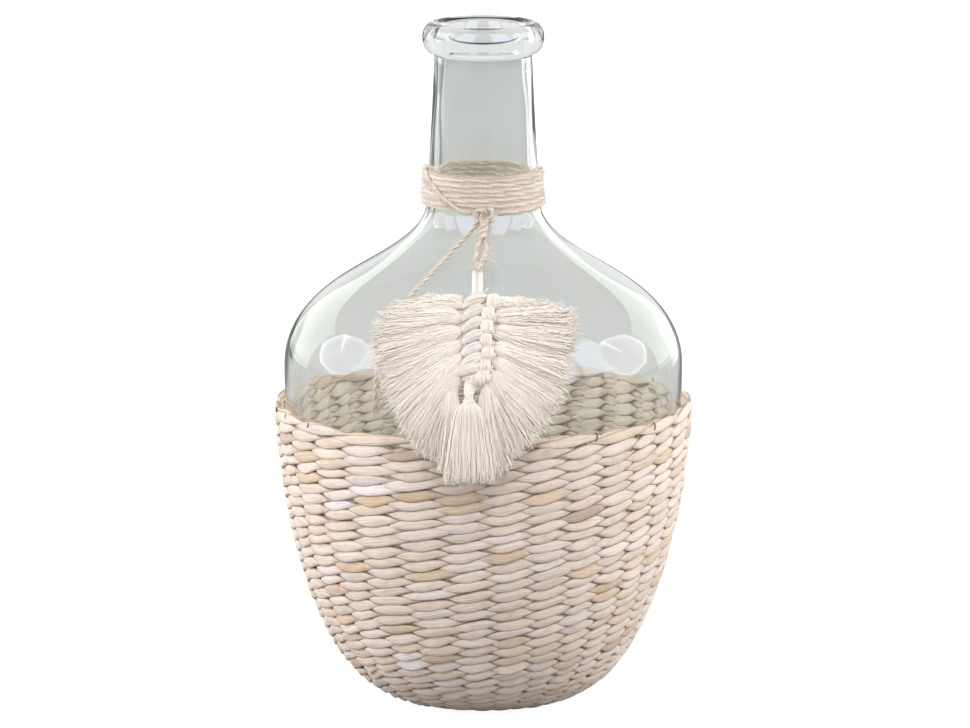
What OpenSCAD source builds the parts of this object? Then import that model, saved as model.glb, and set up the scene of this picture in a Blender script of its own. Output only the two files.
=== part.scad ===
// A clear glass bottle that stands in a woven reed basket.
// Twine is wound round its neck, and a knotted cotton leaf hangs from the twine.
// The origin is the middle of the basket's flat foot, +Z is up and the leaf hangs on the -Y side.

/* [Glass bottle] */
// Height of the glass from its foot to the top of its lip
bottle_h = 294.5; // [270:0.5:340]
// Radius of the belly where it is widest
belly_r = 87.4; // [80:0.2:100]
// Height of the widest place above the glass foot
belly_z = 143.5; // [135:0.5:155]
// Radius of the flat glass foot
foot_r = 31; // [26:0.5:40]
// Radius of the hollow pressed up under the foot
punt_r = 24; // [10:0.5:24]
// Depth of the hollow under the foot
punt_h = 6; // [2:0.5:12]
// Thickness of the glass wall
glass_t = 3.2; // [2:0.1:4]
// Length of the neck from the shoulder to just under the lip
neck_len = 67.5; // [55:0.5:75]
// Radius of the neck where it leaves the shoulder
neck_root_r = 25.2; // [24:0.1:28]
// Radius of the neck halfway up
neck_mid_r = 22.85; // [22:0.05:25]
// Radius of the neck just under the lip
neck_top_r = 21.3; // [20.5:0.1:23]
// Outer radius of the rounded lip
lip_r = 26.6; // [25:0.1:30]
// Height of the rounded lip
lip_h = 13.5; // [8:0.5:16]
// Radius of the mouth's straight bore
bore_r = 17; // [14:0.1:17.5]
// Length of the mouth's straight bore
bore_len = 20; // [10:0.5:30]

/* [Basket] */
// Height of the basket's rim above its foot
rim_z = 132.8; // [110:0.2:138]
// Gap between the glass and the basket's inside
basket_fit = 0.3; // [0.3:0.05:0.6]
// Thickness of the upright stakes
stake_t = 1.3; // [0.8:0.1:2]
// Width of the upright stakes
stake_w = 4; // [2:0.1:6]
// Number of upright stakes
stake_count = 30; // [24:1:36]
// Thickness of one woven course through the wall
weft_t = 3.8; // [3:0.1:5]
// Gap between one course and the next
course_gap = 0.2; // [0.15:0.05:0.4]
// Number of woven courses under the rim border
course_count = 27; // [24:1:30]
// Diameter of the rim border
border_d = 5; // [4:0.1:6]
// Radius at which the woven base ends and the courses begin
base_edge_r = 53.5; // [48:0.5:58]

/* [Neck twine] */
// Diameter of the twine
twine_d = 1.7; // [1.4:0.05:1.9]
// Gap between neighbouring turns of the twine
turn_gap = 0.45; // [0.45:0.05:0.6]
// Gap between the twine and the glass
twine_fit = 0.3; // [0.3:0.05:0.6]
// Full turns before the twine comes down to the knot again
wrap_turns = 7; // [4:1:9]
// Height of the lowest turn above the neck's root
wrap_rise = 1.9; // [1:0.1:6]
// Length of the knot across the front
knot_len = 8.6; // [6:0.2:12]
// Diameter of the knot
knot_d = 6; // [5:0.1:8]
// Diameter of the knot's flat ends
knot_end_d = 4; // [3:0.1:5]
// Sideways place of the knot
knot_x = 0.7; // [-2:0.1:2]
// Diameter of the twine's loose end
tail_d = 2; // [1.6:0.1:2.4]
// Half the width of the eye in the doubled twine that holds the leaf
eye_half_w = 2.9; // [2.4:0.1:3.6]

/* [Cotton leaf] */
// Half the width of the leaf
leaf_half_w = 44; // [34:0.5:50]
// Sideways place of the leaf's middle
leaf_x = -3; // [-5:0.1:3]
// Height of the leaf's top above the basket's foot
leaf_top_z = 194; // [190:0.5:198]
// Height of the leaf's tip above the basket's foot
leaf_tip_z = 115; // [100:0.5:125]
// How far the leaf's top stands off the middle line of the bottle
leaf_top_out = 62; // [60:0.5:68]
// Least gap between the glass and the middle of the leaf's top
leaf_glass_gap = 6; // [4:0.5:10]
// Gap between the rim border and the leaf's back
leaf_hang_gap = 4.5; // [3:0.1:8]
// Thickness of the combed fringe
fringe_t = 3; // [2:0.1:3.5]
// Gap between neighbouring strings of the leaf
string_gap = 0.4; // [0.3:0.05:0.8]
// Diameter of the cotton cord that the strings are knotted on
spine_d = 1.9; // [1.4:0.05:2.1]
// Gap between the two runs of the cotton cord
spine_gap = 0.45; // [0.4:0.05:0.8]
// Length of the cotton loop above the leaf
loop_len = 9; // [7:0.5:11]
// Diameter of the knots down the leaf's middle
string_knot_d = 4.4; // [3.6:0.1:5]
// Width of the knots left of the middle
left_knot_w = 9; // [7:0.2:12]
// Width of the knots right of the middle
right_knot_w = 6; // [4.8:0.2:8]
// Diameter of the knot that ends the leaf's cord
end_knot_d = 5.6; // [5:0.1:6.4]
// Clearance between pieces tied close together
tie_fit = 0.1; // [0.1:0.02:0.2]

/* [Tassel] */
// Diameter of the tassel's neck
tassel_neck_d = 5.6; // [4:0.1:8]
// Length of the tassel's neck
tassel_neck_len = 4; // [3:0.2:9]
// Width of the tassel's skirt at its hem
tassel_hem_w = 22; // [14:0.5:30]
// Length of the tassel's skirt
tassel_skirt_len = 34; // [20:0.5:36]
// Thickness of the tassel's skirt
tassel_t = 8; // [6:0.2:12]
// Thickness of the binding round the tassel's neck
binding_t = 1; // [0.6:0.1:1.6]
// Height of the binding round the tassel's neck
binding_h = 2; // [1:0.1:2.6]
// Gap between the leaf and the tassel that swings in front of it
tassel_fit = 0.6; // [0.4:0.1:1]

/* [Hidden] */
smooth_sides = 96;
$fn = smooth_sides;

course_names = [for (i = [1:course_count]) str("weft_course_", i < 10 ? "0" : "", i)];
string_count = 7;
left_names = [for (i = [1:string_count]) str("leaf_string_left_", i)];
right_names = [for (i = [1:string_count]) str("leaf_string_right_", i)];

glass_colour = [0.80, 0.84, 0.81, 0.35];
reed_colour = [0.88, 0.82, 0.75];
border_colour = [0.90, 0.84, 0.76];
stake_colour = [0.80, 0.73, 0.64];
twine_colour = [0.78, 0.69, 0.58];
cotton_colour = [0.92, 0.89, 0.84];

// Curves
function bezier(p, t) =
    pow(1 - t, 3) * p[0]
    + 3 * pow(1 - t, 2) * t * p[1]
    + 3 * (1 - t) * t * t * p[2]
    + pow(t, 3) * p[3];
function bezier_way(p, t) =
    pow(1 - t, 2) * (p[1] - p[0])
    + 2 * (1 - t) * t * (p[2] - p[1])
    + t * t * (p[3] - p[2]);
function unit(v) = v / norm(v);
function right_of(v) = [v[1], -v[0]];
function beside(p, t, d) = bezier(p, t) + d * right_of(unit(bezier_way(p, t)));
function ease(x) = let (u = min(1, max(0, x))) u * u * (3 - 2 * u);
function running_length(pts) =
    [for (i = 0, s = 0; i < len(pts);
        s = s + (i + 1 < len(pts) ? norm(pts[i + 1] - pts[i]) : 0), i = i + 1) s];

// Glass outline, as distance from the axis and height, in the basket's frame
wall_t = stake_t + tie_fit + weft_t;
glass_z = wall_t + basket_fit;
belly_at = [belly_r, glass_z + belly_z];
foot_at = [foot_r, glass_z];
top_z = glass_z + bottle_h;
neck_top_at = [neck_top_r, top_z - lip_h];
neck_root_at = neck_top_at + [neck_root_r - neck_top_r, -neck_len];
neck_mid_at = [neck_mid_r, (neck_top_at[1] + neck_root_at[1]) / 2];
neck_pull_at = 2 * neck_mid_at - (neck_top_at + neck_root_at) / 2;
neck_way = unit(neck_pull_at - neck_root_at);

heel_pull_shares = [0.425, 0.68];
turn_shares = [0.513, 0.591];
turn_angle = 31;
shoulder_pull_shares = [0.306, 0.246, 0.248, 0.159];
shoulder_w = belly_r - neck_root_r;
shoulder_h = neck_root_at[1] - belly_at[1];
turn_at = neck_root_at + [shoulder_w * turn_shares[0], shoulder_h * (turn_shares[1] - 1)];
turn_way = [-cos(turn_angle), sin(turn_angle)];

lower_curve = [
    belly_at,
    belly_at - [0, belly_z * heel_pull_shares[0]],
    foot_at + [(belly_r - foot_r) * heel_pull_shares[1], 0],
    foot_at
];
shoulder_curve = [
    belly_at,
    belly_at + [0, shoulder_h * shoulder_pull_shares[0]],
    turn_at - turn_way * shoulder_w * shoulder_pull_shares[1],
    turn_at
];
collar_curve = [
    turn_at,
    turn_at + turn_way * shoulder_w * shoulder_pull_shares[2],
    neck_root_at - neck_way * shoulder_h * shoulder_pull_shares[3],
    neck_root_at
];
neck_curve = [
    neck_root_at,
    neck_root_at + (neck_pull_at - neck_root_at) * 2 / 3,
    neck_top_at + (neck_pull_at - neck_top_at) * 2 / 3,
    neck_top_at
];
lower_steps = 16;
upper_steps = 8;
lip_steps = 14;
lip_mid = [(bore_r + lip_r) / 2, top_z - lip_h / 2];
lip_half = [(lip_r - bore_r) / 2, lip_h / 2];
bore_top_z = lip_mid[1];
bore_foot_z = bore_top_z - bore_len;

function up_list(curve, d, steps) = [for (i = [1:steps]) beside(curve, i / steps, d)];
function glass_side(d) = concat(
    [for (i = [0:lower_steps]) beside(lower_curve, 1 - i / lower_steps, -d)],
    up_list(shoulder_curve, d, upper_steps),
    up_list(collar_curve, d, upper_steps),
    up_list(neck_curve, d, upper_steps)
);
glass_outside = glass_side(0);
glass_inside = [for (p = glass_side(-glass_t)) if (p[1] < bore_foot_z - glass_t) p];
function punt_line(rise) =
    [for (i = [0:upper_steps])
        let (u = i / upper_steps)
        [punt_r * u, glass_z + rise + punt_h * (1 + cos(180 * u)) / 2]];
lip_arc = [for (i = [0:lip_steps])
    let (a = -90 + 270 * i / lip_steps)
    lip_mid + [lip_half[0] * cos(a), lip_half[1] * sin(a)]];
glass_height_table = [for (p = glass_outside) [p[1], p[0]]];
function glass_r_at(z) = lookup(z, glass_height_table);

// Basket wall: places are counted along its middle line, down from the belly's height
weft_mid_d = basket_fit + stake_t + tie_fit + weft_t / 2;
wall_steps = 80;
wall_line = [for (i = [0:wall_steps]) beside(lower_curve, i / wall_steps, -weft_mid_d)];
wall_length = running_length(wall_line);
wall_r_table = [for (i = [0:wall_steps]) [wall_length[i], wall_line[i][0]]];
wall_z_table = [for (i = [0:wall_steps]) [wall_length[i], wall_line[i][1]]];
wall_share_table = [for (i = [0:wall_steps]) [wall_length[i], i / wall_steps]];
length_at_z = [for (i = [wall_steps:-1:0]) [wall_line[i][1], wall_length[i]]];
basket_foot_share = 0.7;
length_at_r = [for (i = [wall_steps:-1:0])
    if (wall_line[i][1] < rim_z * basket_foot_share) [wall_line[i][0], wall_length[i]]];
border_at = lookup(rim_z - border_d / 2, length_at_z);
base_at = lookup(base_edge_r, length_at_r);
course_pitch = (base_at - border_at - border_d / 2) / course_count;
function share_at(s) = lookup(s, wall_share_table);
function wall_point(s, d) = beside(lower_curve, share_at(s), -d);

// Winding of the twine round the neck
function ease_between(x, from, to) = ease((x - from) / (to - from));
knot_z = neck_root_at[1] + twine_d / 2 - tie_fit;
knot_out = knot_d / 2 + twine_fit
    + max(neck_root_r + twine_fit + twine_d + tie_fit, glass_r_at(knot_z - knot_d / 2));
turn_pitch = twine_d + turn_gap;
rings_per_turn = 24;
wrap_foot_z = neck_root_at[1] + wrap_rise;
wrap_start_x = knot_x + knot_len / 2;
wrap_end_x = knot_x - knot_len / 2;
wrap_first_angle = atan2(-knot_out, wrap_start_x + twine_d);
wrap_last_angle = atan2(-knot_out, wrap_end_x - twine_d) + 360 * wrap_turns;
wrap_start_sweep = 45;
wrap_lift_sweep = 25;
wrap_end_sweep = 75;
wrap_settled_angle = wrap_first_angle + wrap_start_sweep;
wrap_leave_angle = wrap_last_angle - wrap_end_sweep;
crossing_lift = twine_d + turn_gap + tie_fit;
wrap_rings = round((wrap_last_angle - wrap_first_angle) / 360 * rings_per_turn);
function helix_z(a) = wrap_foot_z + turn_pitch * (a - wrap_first_angle) / 360;
function knot_side_r(a) = knot_out / abs(sin(a));
function wrap_z(a) =
    let (
        turns_z = helix_z(min(a, wrap_leave_angle)),
        start_z = knot_z + (turns_z - knot_z) * ease_between(a, wrap_first_angle, wrap_settled_angle)
    )
    start_z + (knot_z - start_z) * ease_between(a, wrap_leave_angle, wrap_last_angle);
function wrap_r(a) =
    let (
        z = wrap_z(a),
        on_neck = glass_r_at(z) + twine_fit + twine_d / 2,
        lift = crossing_lift * ease_between(a, wrap_leave_angle - wrap_lift_sweep, wrap_leave_angle),
        lifted = on_neck + lift,
        first = ease_between(a, wrap_first_angle, wrap_settled_angle),
        last = ease_between(a, wrap_last_angle - wrap_lift_sweep, wrap_last_angle)
    )
    first < 1 ? knot_side_r(a) * (1 - first) + on_neck * first
    : last > 0 ? lifted * (1 - last) + knot_side_r(a) * last
    : lifted;
wrap_path = concat(
    [[wrap_start_x, -knot_out, knot_z]],
    [for (i = [0:wrap_rings])
        let (a = wrap_first_angle + (wrap_last_angle - wrap_first_angle) * i / wrap_rings)
        [wrap_r(a) * cos(a), wrap_r(a) * sin(a), wrap_z(a)]],
    [[wrap_end_x, -knot_out, knot_z]]
);
half_turn = rings_per_turn / 2;
wrap_gaps = [for (i = [0:len(wrap_path) - 1])
    for (j = [i + half_turn:1:len(wrap_path) - 1])
        norm(wrap_path[i] - wrap_path[j]) - twine_d];
echo(least_gap_of_the_winding_to_itself = min(wrap_gaps));  // neck_twine_wrap

// Loose end of the twine, from the knot over the shoulder and behind the leaf
tail_points = [
    [-2, -31, 218],
    [-5, -31, 213],
    [-14, -36, 204],
    [-23, -46, 196],
    [-33, -58, 187],
    [-38, -67, 178],
    [-42, -72, 170],
    [-45, -76, 161],
    [-46, -77, 152],
    [-46, -77, 144]
];
tail_steps = 2;

// Leaf: a cloth-like plate that leans on the shoulder and hangs over the rim
leaf_tip_out = wall_point(border_at, 0)[0] + weft_mid_d + border_d / 2 + leaf_hang_gap;
leaf_h = leaf_top_z - leaf_tip_z;
drape_pull_shares = [0.38, 0.47];
drape_lean_angle = 37;
leaf_start_out = max(leaf_top_out, glass_r_at(leaf_top_z) + leaf_glass_gap);
drape_curve = [
    [leaf_start_out, leaf_top_z],
    [leaf_start_out, leaf_top_z]
        + leaf_h * drape_pull_shares[0] * [cos(drape_lean_angle), -sin(drape_lean_angle)],
    [leaf_tip_out, leaf_tip_z + leaf_h * drape_pull_shares[1]],
    [leaf_tip_out, leaf_tip_z]
];
drape_steps = 24;
drape_line = [for (i = [0:drape_steps]) bezier(drape_curve, i / drape_steps)];
drape_z_table = [for (i = [drape_steps:-1:0]) [drape_line[i][1], i / drape_steps]];
function drape_share(z) = lookup(z, drape_z_table);
function leaf_z(share) = leaf_top_z - leaf_h * share;
function drape_point(z, out) =
    beside(drape_curve, drape_share(z), -out);
function drape_angle(z) =
    let (w = bezier_way(drape_curve, drape_share(z)))
    atan2(w[0], -w[1]);
function in_space(x, p) = [x, -p[0], p[1]];

// Outline of the leaf, as shares of its half width and of its height down from the top
left_outline_shares = [
    [0.14, 0.035], [0.50, 0.045], [0.85, 0.10], [0.97, 0.17], [1.00, 0.26],
    [0.98, 0.33], [0.94, 0.41], [0.89, 0.48], [0.83, 0.55], [0.77, 0.625],
    [0.70, 0.695], [0.60, 0.78], [0.47, 0.85], [0.25, 0.95], [0.02, 0.99]
];
right_outline_shares = [
    [0.10, 0.035], [0.45, 0.06], [0.75, 0.085], [0.94, 0.12], [0.97, 0.20],
    [0.95, 0.27], [0.90, 0.36], [0.88, 0.42], [0.85, 0.50], [0.82, 0.55],
    [0.75, 0.61], [0.61, 0.73], [0.43, 0.82], [0.24, 0.94], [0.02, 0.99]
];
string_root_shares = [0.035, 0.09, 0.15, 0.213, 0.275, 0.336, 0.404, 0.455];
knot_row_shares = [0.063, 0.12, 0.18, 0.243, 0.304, 0.368, 0.428];
bay_shares = [[0.02, 0.72], [0.13, 0.66], [0.17, 0.60], [0.15, 0.53]];
end_knot_share = 0.475;
spine_end_share = 0.455;

spine_side = (spine_d + spine_gap) / 2;
string_start = spine_side + spine_d / 2 + string_gap;
knot_forward = spine_d / 2 + tie_fit + string_knot_d / 2;

// Hanger: doubled twine from the knot to the cotton loop
knot_at = [knot_out, knot_z];
leaf_top = drape_line[0];
hanger_way = unit(leaf_top - knot_at);
hanger_top = knot_at + hanger_way * (knot_d / 2 + twine_fit);
hanger_out_way = [-hanger_way[1], hanger_way[0]];
loop_turn_r = spine_d / 2 + twine_d / 2 + tie_fit;
loop_tip = leaf_top - hanger_way * loop_len;
hanger_tip = loop_tip + hanger_way * loop_turn_r;
hanger_len = norm(hanger_tip - hanger_top);
twist_end_share = 0.45;
eye_start_share = 0.35;
eye_share = 0.62;
hanger_close = (twine_d + turn_gap) / 2;
hanger_rings = 12;
hanger_turn_rings = 5;
hanger_twist = 360;
hanger_run = hanger_len - loop_turn_r;
function hanger_half_w(u) =
    hanger_close
    + (eye_half_w - hanger_close)
        * ease_between(u, eye_start_share, eye_share)
        * (1 - ease_between(u, eye_share, 1))
    + (loop_turn_r - hanger_close) * ease_between(u, eye_share, 1);
function hanger_turn(u) =
    -hanger_twist * (1 - ease_between(u, 0, twist_end_share)) + 90 * ease_between(u, eye_share, 1);
function hanger_point(u, side) =
    let (
        p = hanger_top + hanger_way * hanger_run * u,
        w = side * hanger_half_w(u),
        a = hanger_turn(u),
        x = knot_x + (leaf_x - knot_x) * u
    )
    in_space(x + w * cos(a), p + hanger_out_way * w * sin(a));
hanger_path = concat(
    [for (i = [0:hanger_rings]) hanger_point(i / hanger_rings, 1)],
    [for (i = [1:hanger_turn_rings - 1])
        let (a = 180 * i / hanger_turn_rings, c = hanger_top + hanger_way * hanger_run)
        in_space(leaf_x, c + loop_turn_r * (hanger_out_way * cos(a) + hanger_way * sin(a)))],
    [for (i = [0:hanger_rings]) hanger_point(1 - i / hanger_rings, -1)]
);

// Cotton cord of the leaf: up one side, round the loop and down the other side
spine_rings = 14;
spine_end_z = leaf_z(spine_end_share);
function spine_run(side) =
    [for (i = [0:spine_rings])
        let (z = spine_end_z + (leaf_top_z - spine_end_z) * i / spine_rings)
        in_space(leaf_x + side * spine_side, drape_point(z, 0))];
loop_run_shares = [0.35, 0.7];
function loop_run(side) =
    [for (u = loop_run_shares)
        in_space(
            leaf_x + side * (spine_side + (loop_turn_r - spine_side) * u),
            leaf_top - hanger_way * (loop_len - loop_turn_r) * u
        )];
loop_centre = leaf_top - hanger_way * (loop_len - loop_turn_r);
loop_arc = [for (i = [0:hanger_turn_rings + 1])
    let (a = 180 * i / (hanger_turn_rings + 1))
    in_space(leaf_x - loop_turn_r * cos(a), loop_centre - hanger_way * loop_turn_r * sin(a))];
function backwards(list) = [for (i = [len(list) - 1:-1:0]) list[i]];
spine_path = concat(spine_run(-1), loop_run(-1), loop_arc, backwards(loop_run(1)), backwards(spine_run(1)));

// Tassel
tassel_x_share = -0.07;
tassel_x = leaf_x + leaf_half_w * tassel_x_share;
tassel_neck_r = tassel_neck_d / 2;
tassel_out = fringe_t / 2 + tassel_fit + binding_t + tassel_neck_r;
end_knot_z = leaf_z(end_knot_share);
end_knot_back_share = 0.2;
end_knot_at = drape_point(end_knot_z, knot_forward - string_knot_d * end_knot_back_share);
tassel_reach = (end_knot_d + tassel_neck_d) / 2 + tie_fit * 3;
tassel_top_z = end_knot_z - sqrt(pow(tassel_reach, 2) - pow(tassel_out - knot_forward, 2));
tassel_at = in_space(tassel_x, drape_point(tassel_top_z, tassel_out));
tassel_lean = atan2(
    drape_point(leaf_tip_z, 0)[0] - drape_point(tassel_top_z, 0)[0],
    tassel_top_z - leaf_tip_z
);

// A round tube that follows a list of points
function way_at(p, i) = unit(p[min(i + 1, len(p) - 1)] - p[max(i - 1, 0)]);
function square_to(v, way) = unit(v - way * (v * way));
function frame_list(p, first) =
    [for (i = 0, n = square_to(first, way_at(p, 0)); i < len(p);
        n = square_to(n, way_at(p, min(i + 1, len(p) - 1))), i = i + 1) n];
module tube(path, d, sides, first) {
    frames = frame_list(path, first);
    rings = len(path);
    points = [for (i = [0:rings - 1])
        let (n = frames[i], b = cross(way_at(path, i), n))
        for (k = [0:sides - 1])
            path[i] + d / 2 * (n * cos(360 * k / sides) + b * sin(360 * k / sides))];
    skin = [for (i = [0:rings - 2])
        for (k = [0:sides - 1])
            let (a = i * sides + k, b = i * sides + (k + 1) % sides)
            each [[a, b + sides, b], [a, a + sides, b + sides]]];
    cap_start = [for (k = [1:sides - 2]) [0, k, k + 1]];
    last = (rings - 1) * sides;
    cap_end = [for (k = [1:sides - 2]) [last, last + k + 1, last + k]];
    polyhedron(points = points, faces = concat(skin, cap_start, cap_end));
}
function smooth_between(a, b, c, d, t) =
    0.5 * (2 * b + (c - a) * t + (2 * a - 5 * b + 4 * c - d) * t * t + (3 * b - a - 3 * c + d) * pow(t, 3));
function smooth_path(p, steps) = concat(
    [for (i = [0:len(p) - 2])
        for (k = [0:steps - 1])
            smooth_between(p[max(i - 1, 0)], p[i], p[i + 1], p[min(i + 2, len(p) - 1)], k / steps)],
    [p[len(p) - 1]]
);

// Glass bottle with its punt, its straight mouth and its rounded lip
module glass_bottle() {
    color(glass_colour)
    rotate_extrude()
    polygon(concat(
        punt_line(0),
        glass_outside,
        lip_arc,
        [[bore_r, bore_foot_z]],
        backwards(glass_inside),
        backwards(punt_line(glass_t))
    ));
}

// Seven turns of twine in one piece, from one side of the knot to the other
module neck_twine_wrap() {
    color(twine_colour)
    tube(wrap_path, twine_d, 6, [0, 0, 1]);
}

// Knot of the twine, a barrel with three humps and two flat ends
module twine_knot() {
    humps = 3;
    steps = 18;
    end_r = knot_end_d / 2;
    hump_r = knot_d / 2 - end_r;
    color(twine_colour)
    translate([knot_x, -knot_out, knot_z])
    rotate([0, 90, 0])
    translate([0, 0, -knot_len / 2])
    rotate_extrude()
    polygon(concat(
        [[0, 0]],
        [for (i = [0:steps]) [end_r + hump_r * sqrt(abs(sin(180 * humps * i / steps))), knot_len * i / steps]],
        [[0, knot_len]]
    ));
}

// Loose twine that hangs down from the knot
module twine_tail() {
    color(twine_colour)
    tube(smooth_path(tail_points, tail_steps), tail_d, 8, [1, 0, 0]);
}

// Dished mat that the bottle stands on
module basket_base() {
    steps = 10;
    edge_share = share_at(base_at);
    function dish(d) = [for (i = [0:steps]) beside(lower_curve, 1 - (1 - edge_share) * i / steps, -d)];
    color(reed_colour)
    rotate_extrude()
    polygon(concat(
        [[0, 0]],
        dish(glass_z),
        backwards(dish(basket_fit)),
        [[0, wall_t]]
    ));
}

// Upright stakes that the courses are woven on
module basket_stakes() {
    steps = 18;
    from = share_at(border_at + border_d / 2 + tie_fit);
    to = share_at(base_at - tie_fit);
    function side(d) = [for (i = [0:steps]) beside(lower_curve, from + (to - from) * i / steps, -d)];
    color(stake_colour)
    for (i = [0:stake_count - 1])
        rotate([0, 0, 360 * (i + 0.5) / stake_count])
        rotate([90, 0, 0])
        linear_extrude(height = stake_w, center = true)
        polygon(concat(side(basket_fit), backwards(side(basket_fit + stake_t))));
}

// One course: a pair of reeds twined round the whole basket
module weft_course(i) {
    corners = 12;
    s = base_at - course_pitch * (i - 0.5);
    middle = wall_point(s, weft_mid_d);
    out_way = unit(wall_point(s, weft_mid_d) - wall_point(s, 0));
    up_way = -right_of(out_way);
    half = [weft_t / 2, (course_pitch - course_gap) / 2];
    color(reed_colour)
    rotate_extrude()
    polygon([for (k = [0:corners - 1])
        let (a = 360 * (k + 0.5) / corners)
        middle + out_way * half[0] * cos(a) + up_way * half[1] * sin(a)]);
}

// Plain border along the top, over the ends of the stakes
module rim_border() {
    middle = wall_point(border_at, weft_mid_d);
    color(border_colour)
    rotate_extrude()
    translate(middle)
    circle(d = border_d - course_gap);
}

// Doubled twine with an eye, closed round the cotton loop
module twine_hanger() {
    color(twine_colour)
    tube(hanger_path, twine_d, 8, [0, 0, 1]);
}

// Folded cotton cord: the loop at the top and the two runs under the knots
module leaf_spine_cord() {
    color(cotton_colour)
    tube(spine_path, spine_d, 8, [0, 1, 1]);
}

// Knob of cotton where the cord ends, above the tassel
module end_knob(d) {
    translate(in_space(tassel_x, end_knot_at))
    sphere(d = d);
}
module leaf_end_knot() {
    color(cotton_colour)
    end_knob(end_knot_d);
}

// Bent plate that every string of the leaf is cut from
module leaf_plate() {
    half = fringe_t / 2;
    front = [for (i = [0:drape_steps]) beside(drape_curve, i / drape_steps, -half)];
    back = [for (i = [0:drape_steps]) beside(drape_curve, i / drape_steps, half)];
    translate([leaf_x, 0, 0])
    rotate([0, 0, -90])
    rotate([90, 0, 0])
    linear_extrude(height = leaf_half_w * 2 + string_knot_d, center = true)
    polygon(concat(front, backwards(back)));
}

// A string's outline in front view, from the middle of the leaf to its trimmed ends
module string_outline(shares, i, side) {
    function at(p, drop) = [side * max(string_gap / 2, p[0] * leaf_half_w), leaf_z(p[1]) - drop];
    function root(share, drop) = [side * string_start, leaf_z(share) - drop];
    ends = [at(shares[2 * i], string_gap), at(shares[2 * i + 1], 0), at(shares[2 * i + 2], 0)];
    bay = i < string_count - 1 ? [] : [for (p = bay_shares) at(p, 0)];
    points = concat(
        [root(string_root_shares[i], string_gap)],
        ends,
        bay,
        [root(string_root_shares[i + 1], 0)]
    );
    translate([leaf_x, 0, 0])
    rotate([90, 0, 0])
    linear_extrude(height = leaf_tip_out + string_knot_d)
    polygon(side > 0 ? points : backwards(points));
}

// A rounded bead of cord with its length across the leaf
module knot_bead(width, d) {
    rotate([0, 90, 0])
    union() {
        cylinder(d = d, h = width - d, center = true);
        for (end = [-1, 1])
            translate([0, 0, end * (width - d) / 2])
            sphere(d = d);
    }
}

// The knot of one row, left or right of the middle
module row_knot(i, side, knot_w, d) {
    z = leaf_z(knot_row_shares[i]);
    translate(in_space(leaf_x + side * (tie_fit + knot_w / 2), drape_point(z, knot_forward)))
    knot_bead(knot_w + d - string_knot_d, d);
}

// One string: its half of the knot and its combed-out fringe, clear of the knots next to it
module leaf_string(i, side, shares, knot_w) {
    spaced_d = string_knot_d + 2 * tie_fit;
    color(cotton_colour)
    difference() {
        union() {
            intersection() {
                leaf_plate();
                string_outline(shares, i, side);
            }
            row_knot(i, side, knot_w, string_knot_d);
        }
        if (i > 0) row_knot(i - 1, side, knot_w, spaced_d);
        if (i < string_count - 1) row_knot(i + 1, side, knot_w, spaced_d);
        if (i > string_count - 3) end_knob(end_knot_d + 4 * tie_fit);
    }
}

// A tassel hangs by its neck in front of the leaf, flat at the back
module tassel_place() {
    translate(tassel_at)
    rotate([-tassel_lean, 0, 0])
    children();
}
module tassel_skirt() {
    long = tassel_neck_len + tassel_skirt_len;
    color(cotton_colour)
    tassel_place()
    intersection() {
        union() {
            sphere(d = tassel_neck_d);
            translate([0, 0, -tassel_neck_len])
            cylinder(d = tassel_neck_d, h = tassel_neck_len);
            translate([0, 0, -long])
            cylinder(r1 = tassel_hem_w / 2, r2 = tassel_neck_r, h = tassel_skirt_len);
        }
        translate([-tassel_hem_w, tassel_neck_r - tassel_t, -long])
        cube([tassel_hem_w * 2, tassel_t, long + tassel_neck_d]);
    }
}
module tassel_binding() {
    color(cotton_colour)
    tassel_place()
    translate([0, 0, -(tassel_neck_len + binding_h) / 2])
    difference() {
        cylinder(r = tassel_neck_r + binding_t, h = binding_h);
        translate([0, 0, -binding_h])
        cylinder(r = tassel_neck_r + tie_fit, h = binding_h * 3);
    }
}

glass_bottle();
neck_twine_wrap();
twine_knot();
twine_tail();
basket_base();
basket_stakes();
rim_border();
for (i = [1:course_count])
    weft_course(i);
twine_hanger();
leaf_spine_cord();
leaf_end_knot();
for (i = [0:string_count - 1]) {
    leaf_string(i, -1, left_outline_shares, left_knot_w);
    leaf_string(i, 1, right_outline_shares, right_knot_w);
}
tassel_skirt();
tassel_binding();
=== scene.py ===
# %% [markdown]
# # A clear glass bottle in a woven reed basket
# The bottle stands in a basket of twined reed. Twine is wound round its neck, and a
# knotted cotton leaf with a small tassel hangs from the twine over the basket's rim.
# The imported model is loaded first. It gives every part its place, so each piece below
# is drawn round the same middle line, with the foot at height 0 and the front at -Y.

import math
from math import pi

import bpy
import numpy as np
from mathutils import Matrix
from numpy import cos, linspace, sin


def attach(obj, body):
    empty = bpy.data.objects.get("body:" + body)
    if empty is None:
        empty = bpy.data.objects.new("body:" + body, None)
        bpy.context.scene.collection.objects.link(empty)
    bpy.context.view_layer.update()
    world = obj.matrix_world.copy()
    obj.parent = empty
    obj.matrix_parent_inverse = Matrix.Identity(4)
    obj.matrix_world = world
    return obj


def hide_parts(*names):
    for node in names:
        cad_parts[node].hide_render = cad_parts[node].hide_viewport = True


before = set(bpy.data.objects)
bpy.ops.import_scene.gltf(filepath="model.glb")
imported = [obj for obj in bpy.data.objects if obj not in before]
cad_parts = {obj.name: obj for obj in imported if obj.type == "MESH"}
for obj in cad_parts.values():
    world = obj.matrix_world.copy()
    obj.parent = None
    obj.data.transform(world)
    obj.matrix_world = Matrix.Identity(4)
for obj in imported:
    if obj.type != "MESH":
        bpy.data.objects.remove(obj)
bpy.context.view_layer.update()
MM = 0.001
put_in_scene = bpy.context.scene.collection.objects.link

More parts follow.
